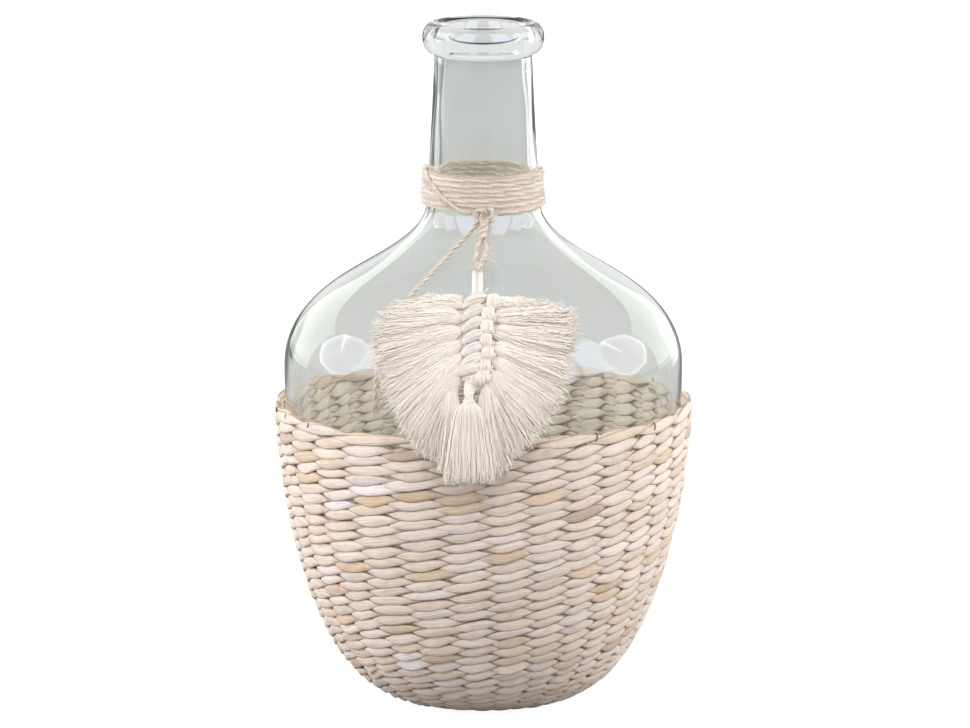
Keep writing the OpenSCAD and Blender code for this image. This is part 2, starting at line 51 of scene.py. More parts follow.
# %% [markdown]
# ## Camera
# The photograph looks down on the bottle by about eleven degrees from nearly three
# metres away. From that far the bottle's sides stay almost parallel, so the lens is
# long. The camera looks at a point on the middle line, halfway up the bottle.

# %% Camera
look_at = np.array([0.00075, 0.0, 0.1485])
camera_pitch = math.radians(10.7)
camera_distance = 2.84
camera_data = bpy.data.cameras.new("camera")
camera_data.sensor_width = 36
camera_data.lens = 239.9
camera = bpy.data.objects.new("camera", camera_data)
camera_way = np.array([0, -math.cos(camera_pitch), math.sin(camera_pitch)])
camera.location = look_at + camera_distance * camera_way
camera.rotation_euler = (pi / 2 - camera_pitch, 0, 0)
put_in_scene(camera)
bpy.context.scene.camera = camera
bpy.context.scene.view_settings.view_transform = "Standard"
print("camera at", tuple(round(v, 3) for v in camera.location))

# %% [markdown]
# ## Helpers for soft strands
# Almost everything here is a strand: a reed, a ply of twine or a cotton thread. Blender
# could bevel curves for this, but thousands of curves are slow, and a bevel can't give
# each stitch its own width. So the strands are written as meshes with numpy. Each point
# also keeps where it lies along its strand, for the fibres in the material, and a tint.

# %% Mesh from arrays
def new_piece(name, parts, body, material):
    """One object made of parts, each made by the function part."""
    starts = np.cumsum([0] + [len(p[0]) for p in parts[:-1]])
    faces = np.concatenate([p[1] + s for p, s in zip(parts, starts)]).astype(np.int32)
    points, strands, tints = (np.concatenate([p[k] for p in parts]) for k in (0, 2, 3))
    mesh = bpy.data.meshes.new(name)
    mesh.vertices.add(len(points))
    mesh.vertices.foreach_set("co", (points * MM).ravel())
    mesh.loops.add(faces.size)
    mesh.loops.foreach_set("vertex_index", faces.ravel())
    mesh.polygons.add(len(faces))
    mesh.polygons.foreach_set("loop_start", np.arange(0, faces.size, 4))
    mesh.update(calc_edges=True)
    mesh.shade_smooth()
    strand = mesh.attributes.new("strand", "FLOAT_VECTOR", "POINT")
    strand.data.foreach_set("vector", strands.ravel())
    tint = mesh.attributes.new("tint", "FLOAT_COLOR", "POINT")
    tint.data.foreach_set("color", np.c_[tints, np.ones(len(tints))].ravel())
    mesh.materials.append(material)
    obj = bpy.data.objects.new(name, mesh)
    put_in_scene(obj)
    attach(obj, body)
    print(f"{name}: {len(points)} points, {len(faces)} faces")
    return obj


def grid_faces(rows, columns, closed):
    """Faces of a net of points, closed round each row if closed."""
    i = np.arange(rows - 1)[:, None] * columns
    j = np.arange(columns if closed else columns - 1)[None, :]
    k = (j + 1) % columns
    return np.stack([i + j, i + k, i + columns + k, i + columns + j], -1).reshape(-1, 4)


def stacked(*values):
    """Points from their three numbers, or from three arrays of numbers."""
    return np.stack(np.broadcast_arrays(*values), -1)


def round_middle(r, turn, z):
    """Points from their distance, angle and height round the middle line."""
    return stacked(r * cos(turn), r * sin(turn), z)


def part(points, faces, strand, tint):
    """What new_piece takes: points in mm, faces of 4, places along the strand, and tints."""
    tints = np.broadcast_to(tint, points.shape)
    return [array.reshape(-1, array.shape[-1]) for array in (points, faces, strand, tints)]


def full_turn(count):
    return 2 * pi * np.arange(count) / count


def circles(across, other, angle):
    """A circle of directions for every point, from two directions square to each other."""
    across, other = across[..., None, :], other[..., None, :]
    return across * cos(angle)[:, None] + other * sin(angle)[:, None]


def unit(v):
    return v / np.maximum(np.linalg.norm(v, axis=-1, keepdims=True), 1e-9)


def ease(x):
    x = np.clip(x, 0, 1)
    return x * x * (3 - 2 * x)


def run_along(points):
    """How far along a line each of its points lies."""
    return np.r_[0, np.cumsum(np.linalg.norm(np.diff(points, axis=0), axis=1))]


# %% Threads: many thin tubes at once
def threads(paths, radius, sides, tint, rng, point_end=True):
    """Tubes of even thickness on many paths (threads, places, 3), in mm."""
    count, places = paths.shape[:2]
    way = unit(np.gradient(paths, axis=1))
    ends_way = unit(paths[:, -1] - paths[:, 0])
    aside = unit(np.cross(ends_way, rng.normal(size=(count, 3))))[:, None]
    across = unit(aside - way * np.sum(aside * way, -1, keepdims=True))
    angle = full_turn(sides)
    size = np.broadcast_to(np.asarray(radius, float), (count, places)).copy()
    if point_end:
        size[:, -1] *= 0.35
    ring = circles(across, np.cross(way, across), angle)
    points = paths[:, :, None] + ring * size[:, :, None, None]
    faces = grid_faces(places, sides, True)
    faces = faces[None] + (np.arange(count) * places * sides)[:, None, None]
    pace = np.linalg.norm(np.diff(paths, axis=1), axis=-1).T
    run = np.cumsum(np.r_[np.zeros((1, count)), pace], 0).T[:, :, None]
    own_place = rng.uniform(0, 90, count)[:, None, None]
    strand = stacked(run, cos(angle) * 0.5, sin(angle) * 0.5 + own_place)
    shape = [(1, 1, 1, 3), (count, 1, 1, 3), (count, places, 1, 3)][np.ndim(tint) - 1]
    return part(points, faces, strand, np.asarray(tint, float).reshape(shape))


# %% Rope: plies twisted round one path
def evenly(points, step):
    """The same line with its points one step apart."""
    points = np.asarray(points, float)
    run = run_along(points)
    places = linspace(0, run[-1], max(4, int(run[-1] / step)))
    return np.stack([np.interp(places, run, points[:, k]) for k in range(3)], 1)


def carried_frames(path):
    """Two directions square to the path that turn with it and never spin."""
    way = unit(np.gradient(path, axis=0))
    across = np.zeros_like(path)
    v = np.array([0.1, 0.2, 1])
    for i, w in enumerate(way):
        v = v - w * (v @ w)
        v = v / np.linalg.norm(v)
        across[i] = v
    return across, np.cross(way, across)


def rope(points, diameter, lay, tint, rng, step=0.7, ends=1.0, wobble=0.04, ply=0.27):
    """Two plies wound round a path, each a tube with lumps. ply is a ply's share in radius."""
    path = evenly(points, step)
    across, other = carried_frames(path)
    run = linspace(0, step * len(path), len(path))
    ply_r = diameter * ply
    taper = np.clip(np.minimum(run, run[::-1]) / ends, 0.25, 1)
    angle = full_turn(8)
    faces = grid_faces(len(path), len(angle), True)
    parts = []
    for k in range(2):
        turn = 2 * pi * (run / lay + k / 2) + 0.25 * sin(run / 7 + rng.uniform(0, 6))
        off = across * cos(turn)[:, None] + other * sin(turn)[:, None]
        line = path + off * ((diameter / 2 - ply_r) * taper)[:, None]
        slow, quick = (wobble * sin(run / wave + rng.uniform(0, 6)) for wave in (1.9, 0.83))
        size = ply_r * taper * (1 + slow + quick)
        pts = line[:, None] + circles(*carried_frames(line), angle) * size[:, None, None]
        strand = stacked(run[:, None], cos(angle), sin(angle) + 7 * k + rng.uniform(0, 90))
        shade = 1 + 0.06 * sin(run / 11 + rng.uniform(0, 6))
        parts.append(part(pts, faces, strand, (tint * shade[:, None])[:, None]))
    return parts


def fuzz(points, count, length, tint, rng, radius, reach=1.0, places=6):
    """Loose fibres that leave a rope, each a bent hair."""
    path = evenly(points, 0.5)
    at = path[rng.integers(2, len(path) - 2, count)]
    way = unit(np.gradient(path, axis=0))[rng.integers(2, len(path) - 2, count)]
    out = unit(rng.normal(size=(count, 3)))
    long = length * rng.uniform(0.35, 1.0, count)[:, None]
    t = linspace(0, 1, places)[None, :, None]
    bend = unit(rng.normal(size=(count, 3))) * long * 0.45
    leave = out * 0.8 + way * 0.6 * rng.choice([-1, 1], (count, 1))
    lines = at[:, None] + leave[:, None] * (long * reach)[:, None] * t
    lines = lines + bend[:, None] * (t * t)
    return threads(lines, radius, 3, tint, rng)


# %% [markdown]
# ## Glass outline
# The bottle is blown in a round mould, so its outline turned round the middle line
# gives its whole shape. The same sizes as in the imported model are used, in millimetres:
# a heavy belly, a soft shoulder, a slightly tapered neck and a fat rounded lip.

# %% Outline curves of the glass, as distance from the middle line and height
belly, foot = np.array([87.4, 149.0]), np.array([31.0, 5.5])
neck_root, neck_top = np.array([25.2, 219.0]), np.array([21.3, 286.5])
neck_pull = 2 * np.array([22.85, 252.75]) - (neck_root + neck_top) / 2
neck_way = unit(neck_pull - neck_root)
fall = belly[1] - foot[1]
rise = neck_root[1] - belly[1]
width = belly[0] - neck_root[0]
turn_way = np.array([-math.cos(math.radians(31)), math.sin(math.radians(31))])
turn_at = neck_root + [width * 0.513, rise * (0.591 - 1)]
lower = [belly, belly - [0, fall * 0.425], foot + [(belly[0] - foot[0]) * 0.68, 0], foot]
shoulder = [belly, belly + [0, rise * 0.306], turn_at - turn_way * width * 0.246, turn_at]
collar = [turn_at, turn_at + turn_way * width * 0.248, neck_root - neck_way * rise * 0.159,
          neck_root]
neck = [neck_root, neck_root + (neck_pull - neck_root) * 2 / 3,
        neck_top + (neck_pull - neck_top) * 2 / 3, neck_top]


def bezier(p, t):
    t = np.asarray(t, float)[..., None]
    return ((1 - t) ** 3 * p[0] + 3 * (1 - t) ** 2 * t * p[1] + 3 * (1 - t) * t * t * p[2]
            + t**3 * p[3])


def beside(p, t, d):
    """Points at a distance to the right of a curve."""
    u = np.asarray(t, float)[..., None]
    w = unit((1 - u) ** 2 * (p[1] - p[0]) + 2 * (1 - u) * u * (p[2] - p[1])
             + u * u * (p[3] - p[2]))
    return bezier(p, t) + np.asarray(d, float)[..., None] * np.stack([w[..., 1], -w[..., 0]], -1)


side_t = linspace(0, 1, 60)
upper = (shoulder, collar, neck)
glass_side = np.concatenate([bezier(lower, 1 - side_t)] + [bezier(p, side_t) for p in upper])


def glass_r(z):
    return np.interp(z, glass_side[:, 1], glass_side[:, 0])


# %% [markdown]
# ## Loose end of the twine
# One end of the twine falls from the knot over the glass shoulder, runs behind the
# cotton leaf and shows again under it, where it frays. It is a free cord, so its route
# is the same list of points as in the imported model, smoothed in the same way.

# %% Route of the loose end
tail_points = np.array([
    [-2, -31, 218], [-5, -31, 213], [-14, -36, 204], [-23, -46, 196], [-33, -58, 187],
    [-38, -67, 178], [-42, -72, 170], [-45, -76, 161], [-46, -77, 152], [-46, -77, 144]], float)


def smooth_route(p, steps):
    """A smooth line through the points, with as many steps between two of them."""
    out = []
    last = len(p) - 1
    for i in range(last):
        a, b, c, d = p[max(i - 1, 0)], p[i], p[i + 1], p[min(i + 2, last)]
        for k in range(steps):
            t = k / steps
            out.append(0.5 * (2 * b + (c - a) * t + (2 * a - 5 * b + 4 * c - d) * t * t
                              + (3 * b - a - 3 * c + d) * t**3))
    return np.array(out + [p[last]])


tail_route = smooth_route(tail_points, 2)

# %% [markdown]
# ## Finishes of the strands
# Reed, jute and cotton share one idea: long fibres. A noise that is stretched along the
# strand gives fine streaks for colour and bump, whatever way the strand bends. A second,
# coarser noise gives blotches. Only the amounts differ: reed is smooth with few streaks,
# jute is coarse, and cotton is fine with a soft sheen.

# %% Helpers for materials
def feed(tree, node, inputs):
    """Set a node's inputs, and link those that are given another node's output."""
    for key, value in inputs.items():
        if isinstance(value, bpy.types.NodeSocket):
            tree.links.new(value, node.inputs[key])
        else:
            node.inputs[key].default_value = value


def add_node(tree, kind, inputs, **settings):
    """A new shader node, handed back as its outputs."""
    node = tree.nodes.new("ShaderNode" + kind)
    for key, value in settings.items():
        setattr(node, key, value)
    feed(tree, node, inputs)
    return node.outputs


def new_material(name):
    material = bpy.data.materials.new(name)
    material.use_nodes = True
    return material, material.node_tree, material.node_tree.nodes["Principled BSDF"]


# %% Fibre material
def fibre_material(name, along, across, streak, blotch, bump, rough, sheen, dark):
    material, tree, shader = new_material(name)
    strand = add_node(tree, "Attribute", {}, attribute_name="strand")
    tint = add_node(tree, "Attribute", {}, attribute_name="tint")
    stretched = add_node(tree, "Mapping", {
        "Vector": strand["Vector"], "Scale": (along, across, across)})
    fine = add_node(tree, "TexNoise", {
        "Vector": stretched["Vector"], "Scale": 1, "Detail": 4, "Roughness": 0.65})
    spots = add_node(tree, "TexNoise", {"Vector": strand["Vector"], "Scale": 0.16, "Detail": 3})
    streaks = add_node(tree, "MapRange", {
        "Value": fine["Fac"], "From Min": 0.3, "From Max": 0.7,
        "To Min": 1 - streak, "To Max": 1 + streak * 0.45})
    blotches = add_node(tree, "MapRange", {
        "Value": spots["Fac"], "From Min": 0.52, "From Max": 0.76, "To Max": blotch})
    darker = add_node(tree, "Mix", {
        "Factor": blotches["Result"], "A": tint["Color"], "B": (*dark, 1)},
        data_type="RGBA", blend_type="MULTIPLY")
    lit = add_node(tree, "VectorMath", {
        "Vector": darker["Result"], "Scale": streaks["Result"]}, operation="SCALE")
    relief = add_node(tree, "Bump", {"Height": fine["Fac"], "Strength": bump, "Distance": 0.0003})
    feed(tree, shader, {
        "Base Color": lit["Vector"], "Normal": relief["Normal"], "Roughness": rough,
        "Specular IOR Level": 0.25, "Sheen Weight": sheen, "Sheen Roughness": 0.5})
    return material


reed = fibre_material(
    "pale_reed", 0.09, 1.9, 0.20, 0.55, 1.1, 0.62, 0.0, (0.80, 0.68, 0.55))
jute = fibre_material(
    "jute_twine", 0.35, 3.2, 0.30, 0.45, 0.8, 0.85, 0.15, (0.72, 0.60, 0.48))
cotton = fibre_material(
    "combed_cotton", 0.20, 3.0, 0.12, 0.15, 0.5, 0.85, 0.30, (0.86, 0.80, 0.72))
reed_cream = np.array([0.810, 0.670, 0.545])
reed_lilac = np.array([0.860, 0.755, 0.680])
reed_white = np.array([0.90, 0.83, 0.79])
reed_tan = np.array([0.660, 0.490, 0.315])
reed_brown = np.array([0.400, 0.270, 0.170])
jute_tint = np.array([0.785, 0.685, 0.590])
cotton_tint = np.array([0.950, 0.875, 0.795])
print("materials:", reed.name, jute.name, cotton.name)

# %% Loose end as two plies with a frayed tip
rng = np.random.default_rng(11)
tail_parts = rope(tail_route, 2.25, 7.5, jute_tint, rng, ends=0.8)
tail = new_piece("loose_twine", tail_parts, "bottle", jute)
fray_count = 30
tip = np.repeat((tail_route[-1] + [0, 0, 2.5])[None], fray_count, 0)
fray_t = linspace(0, 1, 6)[None, :, None]
fray_to = stacked(rng.normal(0, 1.4, fray_count), rng.normal(0, 0.7, fray_count),
                  rng.uniform(-6.0, -2.5, fray_count))
fray = threads(tip[:, None] + fray_to[:, None] * fray_t, 0.16, 4, jute_tint * 1.05, rng)
hairs = fuzz(tail_route, 420, 2.6, jute_tint * 1.1, rng, 0.05)
fray_piece = new_piece("loose_twine_fray", [fray, hairs], "bottle", jute)
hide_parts("twine_tail")

# %% [markdown]
# ## The basket's weave
# The basket is twined: two reeds go round together, one in front of a stake and one
# behind it, and they swap places by crossing between the stakes. So each reed is a wave
# that swings out and in, and also up and down, a quarter turn later. Seen from outside
# this gives rows of plump stitches, each leaning up to the right with its left end tucked
# behind the stitch before. Real reeds differ, so every stitch gets its own width,
# bulge, lean and colour, and whole rows wander a little.

# %% Middle line of the basket wall, from the belly's height down to the middle of the foot
wall_d = 3.6
wall_share = linspace(0, 1, 81)
wall_line = beside(lower, wall_share, -wall_d)
wall_run = run_along(wall_line)
foot_run = wall_run[-1]
border_run = np.interp(132.8 - 2.5, wall_line[::-1, 1], wall_run[::-1])
low = wall_line[:, 1] < 90
base_run = np.interp(53.5, wall_line[low][::-1, 0], wall_run[low][::-1])
course_count = 27
course_pitch = (base_run - border_run - 2.5) / course_count
weave_d = 2.9
print("courses are", round(course_pitch, 2), "mm apart")


def wall_point(run, d):
    """Distance from the middle line and height, from a place down the wall and outside it."""
    run, d = np.broadcast_arrays(np.asarray(run, float), np.asarray(d, float))
    p = beside(lower, np.interp(run, wall_run, wall_share), -d)
    p[..., 0] -= np.maximum(run - foot_run, 0)
    return p


# %% Angles at which the reeds cross, read off the front and spread evenly at the back
front_crossings = [-75.0, -62.5, -50.5, -38.0, -24.5, -11.0, 1.5, 13.5, 25.0, 36.0, 46.5,
                   57.0, 68.0]
back_crossings = linspace(68.0, 285.0, 19)[1:]
crossings = np.r_[front_crossings, back_crossings] - 90
stake_count = len(crossings) - 1


def crossing_angle(place, height):
    """Angle of a place counted in crossings. The stakes lean a little with the height."""
    angle = np.interp(np.mod(place, stake_count), np.arange(len(crossings)), crossings)
    angle = angle + 360 * np.floor(place / stake_count)
    return np.radians(angle + 0.06 * (80 - height))


def between_stitches(values, place):
    """A value for each half stitch, blended smoothly from one to the next."""
    i = np.floor(place).astype(int)
    f = ease(place - i)
    return values[i % len(values)] * (1 - f) + values[(i + 1) % len(values)] * f


# %% Stitches of another reed, as place beside the middle, height and kind
# A kind up to 1 is tan, one above 1 is a torn dark one, and one below 0 is white.
odd_stitches = [
    (-65, 118, 0.5), (-44, 102, 1.0), (-11, 103, 0.9), (-74, 106, 0.8), (-55, 69, 0.7),
    (-33, 45, 0.7), (27, 105, 0.8), (43, 71, 0.8), (67, 71, 0.7), (54, 47, 0.5),
    (-28.5, 107, 1.6), (-48, 108.5, -1.0), (-60, 98, -1.0), (-27, 29, -1.0), (11, 60, -1.0),
    (29, 109, -0.8)]


def odd_tint(tint, turn, height, radius):
    """The stitch's colour, changed where the photograph shows a stitch of another reed."""
    for x, z, kind in odd_stitches:
        near_it = abs(radius * math.cos(turn) - x) < 7.5 and abs(height - z) < 2.4
        if near_it and math.sin(turn) < 0:
            if kind < 0:
                return tint * (1 + kind) - kind * reed_white
            other = reed_tan * (1.12 - 0.35 * max(kind - 1, 0))
            return tint + (other - tint) * min(kind, 1.2) * 0.75
    return tint


# %% One course: a pair of reeds
def wander(angle, row):
    return (0.45 * sin(2 * angle + 0.31 * row) + 0.3 * sin(5 * angle + 0.55 * row)
            + 0.15 * sin(11 * angle + 1.7 * row))


def reed_tints(count, rng):
    mix = rng.uniform(0, 1, count)[:, None]
    tints = reed_cream * (1 - mix) + reed_lilac * mix
    odd = rng.uniform(0, 1, count)[:, None]
    tints = np.where(odd < 0.09, reed_tan * 0.6 + tints * 0.4, tints)
    tints = np.where(odd > 0.985, reed_brown * 0.5 + tints * 0.5, tints)
    return tints * rng.uniform(0.93, 1.05, count)[:, None]


def course(run, row, rng, stitches, half_h, half_t, swing, climb, tip=0.16, sides=14,
           rings=16, loose=1.0):
    """Two reeds twined round the wall at one place down it."""
    parts = []
    tuck = 0.40
    places = np.arange(stitches * rings) / rings
    angle = full_turn(sides)
    flat_h = np.sign(cos(angle)) * np.abs(cos(angle)) ** 0.8
    flat_t = np.sign(sin(angle)) * np.abs(sin(angle)) ** 0.65
    # Painted shade: side is largest at the top and bottom edges of a reed's section, where the rows
    # meet
    side = np.abs(cos(angle)) ** 8
    jog = rng.normal(0, 0.07 * loose, stitches)
    turn_place = (places + between_stitches(jog, places)) * stake_count / stitches
    turn = crossing_angle(turn_place, wall_point(run, weave_d)[1])
    stitch = places - 0.5
    cell = np.floor(stitch).astype(int)
    last, j = (len(places) - 1) * sides, np.arange(sides)
    seam = np.stack([last + j, last + (j + 1) % sides, (j + 1) % sides, j], -1)
    faces = np.concatenate([grid_faces(len(places), sides, True), seam])
    for strand in range(2):
        taller = rng.normal(0, 0.08 * loose, stitches)
        fatter = rng.normal(0, 0.12 * loose, stitches)
        higher = rng.normal(0, 0.20 * loose, stitches)
        leaner = rng.uniform(0.7, 1.35, stitches)
        roll = rng.normal(0.16, 0.09, stitches)
        tint = reed_tints(stitches, rng)
        phase = pi * (places + 0.5 + strand)
        c, s = cos(phase), sin(phase)
        # Widest in mid-stitch, and a point just past the crossing, where the reed dives
        near = np.clip(np.where(c > -tuck, (c + tuck) / (1 + tuck), (-c - tuck) / (1 - tuck)), 0, 1)
        lens = tip + (1 - tip) * near ** 0.92
        h = half_h * lens * (1 + between_stitches(taller, stitch))
        t = half_t * (0.66 + 0.34 * near) * (1 + between_stitches(fatter, stitch))
        up = climb * s * between_stitches(leaner, stitch) + between_stitches(higher, stitch)
        up = up + wander(turn, row) * loose
        out = weave_d + swing * (2 * ease(c + 0.95) - 1)
        base = wall_point(run - up, out)
        above = unit(wall_point(run - up - 0.2, out) - wall_point(run - up + 0.2, out))
        outward = np.stack([above[..., 1], -above[..., 0]], -1)
        tilt = (between_stitches(roll, stitch) * np.clip(c * 1.6, -0.4, 1))[:, None]
        flat_high, flat_thick = flat_h * h[:, None], flat_t * t[:, None]
        high = flat_high * cos(tilt) + flat_thick * sin(tilt)
        thick = flat_thick * cos(tilt) - flat_high * sin(tilt)
        rz = base[:, None] + above[:, None] * high[..., None] + outward[:, None] * thick[..., None]
        pts = round_middle(rz[..., 0], turn[:, None], np.maximum(rz[..., 1], 0.02))
        length = places * 2 * pi / stitches * np.mean(rz[..., 0])
        place = stacked(length[:, None], cos(angle) * half_h,
                        sin(angle) * half_t + 13.0 * row + 5 * strand)
        for k in range(stitches):
            at = int(round((k + 0.5) * rings)) % len(places)
            if c[at] > 0:
                seen = int(math.floor(stitch[at] + 0.25)) % stitches
                tint[seen] = odd_tint(tint[seen], turn[at], base[at, 1], base[at, 0])
        f = np.clip((stitch - cell - 0.5) * 5 + 0.5, 0, 1)[:, None]
        tints = tint[cell % stitches] * (1 - f) + tint[(cell + 1) % stitches] * f
        # Painted shade: each reed is painted darker and browner along its top and bottom edges, for
        # the shade in the crevices between rows
        tints = tints[:, None] * (1 - side[:, None] * [0.45, 0.54, 0.60])
        parts.append(part(pts, faces, place, tints))
    return parts


# %% Twenty-seven courses, one piece each
rng = np.random.default_rng(5)
for i in range(1, course_count + 1):
    row_run = base_run - course_pitch * (i - 0.5)
    parts = course(row_run, i, rng, stake_count, half_h=2.85, half_t=1.15, swing=1.1,
                   climb=1.12, loose=1.5 if i <= 3 else 1.0)
    piece = new_piece(f"reed_course_{i:02d}", parts, "basket", reed)
    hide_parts(f"weft_course_{i:02d}")

# %% [markdown]
# ## Stakes
# The upright stakes only show as dark slips in the holes between the stitches, but they
# are what the reeds go round. Each is a flat strip that follows the wall at mid depth.

# %% Stakes
rng = np.random.default_rng(6)
stake_parts = []
stake_runs = linspace(border_run + 1, base_run + 3, 40)
stake_mid = wall_point(stake_runs, weave_d)
stake_x = np.array([-3.2, -2.4, 2.4, 3.2, 2.4, -2.4])
stake_out = np.array([0, 0.42, 0.42, 0, -0.42, -0.42])
stake_rz = wall_point(stake_runs[:, None], weave_d + stake_out[None])
faces = grid_faces(len(stake_runs), len(stake_x), True)
for i in range(stake_count):
    turn = crossing_angle(np.full(len(stake_runs), i + 0.5), stake_mid[:, 1])
    angle = turn[:, None] + stake_x[None] / stake_rz[..., 0]
    pts = round_middle(stake_rz[..., 0], angle, stake_rz[..., 1])
    strand = stacked(stake_runs[:, None], stake_x[None], stake_out[None] + 3.0 * i)
    stake_parts.append(part(pts, faces, strand, reed_tan * rng.uniform(0.55, 0.75)))
stakes = new_piece("reed_stakes", stake_parts, "basket", reed)
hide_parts("basket_stakes")

# %% [markdown]
# ## Base and rim
# Under the foot the same weave goes on in smaller and smaller rings to the middle. Along
# the top the last pair of reeds makes longer, flatter stitches. Here and there the end of a
# stake is folded over it and tucked in. Only the slit beside each fold is drawn, as a thin
# dark thread of painted shade.

# %% Base
rng = np.random.default_rng(7)
base_parts = []
base_end = foot_run + wall_point(foot_run, weave_d)[0]
row_run = base_run + course_pitch * 0.5
row = 0
while row_run < base_end - 2:
    r = wall_point(row_run, weave_d)[0]
    stitches = stake_count if r > 34 else (16 if r > 16 else 8)
    base_parts += course(row_run, -row, rng, stitches, half_h=2.75, half_t=1.1, swing=1.1,
                         climb=1.1, rings=12, sides=10, loose=0.7)
    row_run += course_pitch
    row += 1
base_parts += course(base_end - 1.6, 40, rng, 6, half_h=1.5, half_t=1.0, swing=0.8, climb=0.4,
                     tip=0.5, rings=8, sides=8, loose=0.3)
base = new_piece("reed_base", base_parts, "basket", reed)
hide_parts("basket_base")

# %% Rim, and the slits of painted shade as angle and height
rng = np.random.default_rng(8)
rim_parts = course(border_run - 0.1, 28, rng, 20, half_h=2.45, half_t=1.1, swing=1.1,
                   climb=1.05, tip=0.2, rings=24, loose=0.9)
for angle, tall in ((-58.4, 1.0), (-36.7, 1.0), (-170.0, 0.5), (-160.0, 0.4), (-146.0, 0.4),
                    (30.0, 0.8), (95.0, 0.8), (150.0, 0.6)):
    phi = linspace(1.2 - 1.1 * tall, 1.35 + 0.65 * tall, 14)
    mid = wall_point(border_run - 0.3 - 2.5 * cos(phi), weave_d + 1.0 + 1.25 * sin(phi))
    turn = np.radians(angle) + 0.9 * sin(phi * 1.6) / 90
    line = round_middle(mid[:, 0], turn, mid[:, 1])
    # Each slit is a thin dark brown thread: painted shade where the fold leaves a gap
    rim_parts.append(threads(line[None], 0.30, 6, reed_brown * 0.5, rng))
rim = new_piece("reed_rim", rim_parts, "basket", reed)
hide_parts("rim_border")

# %% [markdown]
# ## Glass
# The glass is clear with a faint grey-green cast. Its wall is a closed skin with an outer
# and an inner face, because light has to bend at both. Blown glass isn't quite even, so
# the inner face wanders by a tenth of a millimetre. A plain glass shader would throw a
# black shadow, so rays that only carry light to other pieces pass straight through.

# %% Glass skin
wall_t = 3.2
lip_mid, lip_half = np.array([21.8, 293.25]), np.array([4.8, 6.75])
bore_r, bore_top = 17.2, 291.5
lip_angle = np.radians(linspace(-90, 180, 40))
lip_line = lip_mid + stacked(lip_half[0] * cos(lip_angle), lip_half[1] * sin(lip_angle))
inner_line = np.concatenate([beside(lower, 1 - side_t, wall_t)]
                            + [beside(p, side_t, -wall_t) for p in upper])
inner_line = inner_line[inner_line[:, 1] < 280]
bore_t = linspace(0, 1, 10)[1:-1]
bore_from = inner_line[-1]
bore_line = stacked(bore_from[0] + (bore_r - bore_from[0]) * bore_t**1.5,
                    bore_from[1] + (bore_top - bore_from[1]) * bore_t)
inner_line = np.concatenate([inner_line, bore_line])
punt_u = linspace(0.001, 1, 24)
punt = stacked(24 * punt_u, 5.5 + 6 * (1 + cos(pi * punt_u)) / 2)
outline = np.concatenate(
    [punt, glass_side[1:], lip_line[1:], inner_line[::-1], punt[::-1] + [0, wall_t]])
outline = outline[np.r_[True, np.linalg.norm(np.diff(outline, axis=0), axis=1) > 0.02]]
print("glass outline has", len(outline), "points")

# %% Glass piece
turn = full_turn(160)
inner_from = len(punt) + len(glass_side) + len(lip_line) - 2
at = np.arange(len(outline))
is_inner = np.clip((at - inner_from) / 14, 0, 1) * np.clip((len(outline) - at) / 30, 0, 1)
z = outline[:, 1:]
uneven = 0.10 * sin(3 * turn[None] + z / 17) + 0.06 * sin(7 * turn[None] - z / 9 + 1)
points = round_middle(outline[:, :1] + uneven * is_inner[:, None], turn, z)
faces = grid_faces(len(outline), len(turn), True)
glass_mat, tree, shader = new_material("clear_glass")
glass_parts = [part(points, faces, points * 0.1, 0.8)]
glass = new_piece("clear_bottle", glass_parts, "bottle", glass_mat)
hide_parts("glass_bottle")

# %% Glass finish
where = add_node(tree, "TexCoord", {})
ripple = add_node(tree, "TexNoise", {"Vector": where["Object"], "Scale": 9, "Detail": 1})
relief = add_node(tree, "Bump", {"Height": ripple["Fac"], "Strength": 0.05, "Distance": 0.002})
feed(tree, shader, {
    "Base Color": (0.926, 0.944, 0.931, 1), "Transmission Weight": 1, "Roughness": 0,
    "IOR": 1.5, "Normal": relief["Normal"]})
clear = add_node(tree, "BsdfTransparent", {"Color": (0.97, 0.98, 0.965, 1)})
ray = add_node(tree, "LightPath", {})
either = add_node(tree, "Math", {
    0: ray["Is Shadow Ray"], 1: ray["Is Diffuse Ray"]}, operation="MAXIMUM")
mix = add_node(tree, "MixShader", {
    "Fac": either["Value"], 1: shader.outputs["BSDF"], 2: clear["BSDF"]})
feed(tree, tree.nodes["Material Output"], {"Surface": mix["Shader"]})

# %% [markdown]
# ## Twine round the neck
# Jute twine is wound seven times round the root of the neck. It starts at the knot in
# front, climbs as a close spiral, and its last run crosses down over the others on the
# left to the knot again. Jute is hairy, so loose fibres stand off the turns.

# %% Path of the winding
twine_d = 1.7
knot_half_w, knot_x = 4.3, 0.7
knot_out = neck_root[0] + 0.3 + twine_d + 0.1 + 3 + 0.3
knot_z = 219 + twine_d / 2 - 0.1
wound = 7
first_angle = math.degrees(math.atan2(-knot_out, knot_x + knot_half_w + twine_d))
last_angle = math.degrees(math.atan2(-knot_out, knot_x - knot_half_w - twine_d)) + 360 * wound
cross_turn = 75
leave_angle = last_angle - cross_turn

wrap_a = linspace(first_angle, last_angle, wound * 60)
turns_z = 220.5 + 2.22 * (np.minimum(wrap_a, leave_angle) - first_angle) / 360
start_z = knot_z + 0.3 + (turns_z - knot_z - 0.3) * ease((wrap_a - first_angle) / 60)
wrap_z = start_z + (knot_z + 0.4 - start_z) * ease((wrap_a - leave_angle) / cross_turn)
on_neck = glass_r(wrap_z) + 0.3 + twine_d / 2
lifted = on_neck + 1.3 * ease((wrap_a - leave_angle + 25) / 40)
first = ease((wrap_a - first_angle) / 30)
last = ease((wrap_a - last_angle + 25) / 25)
wrap_r = lifted * (1 - last) + (knot_out - 2.0) * last
wrap_r = wrap_r * first + (knot_out - 2.2) * (1 - first)
settle = 0.2 * sin(wrap_a / 31) + 0.15 * sin(wrap_a / 13 + 1)
wrap_path = round_middle(wrap_r, np.radians(wrap_a), wrap_z + settle * (first * (1 - last)))

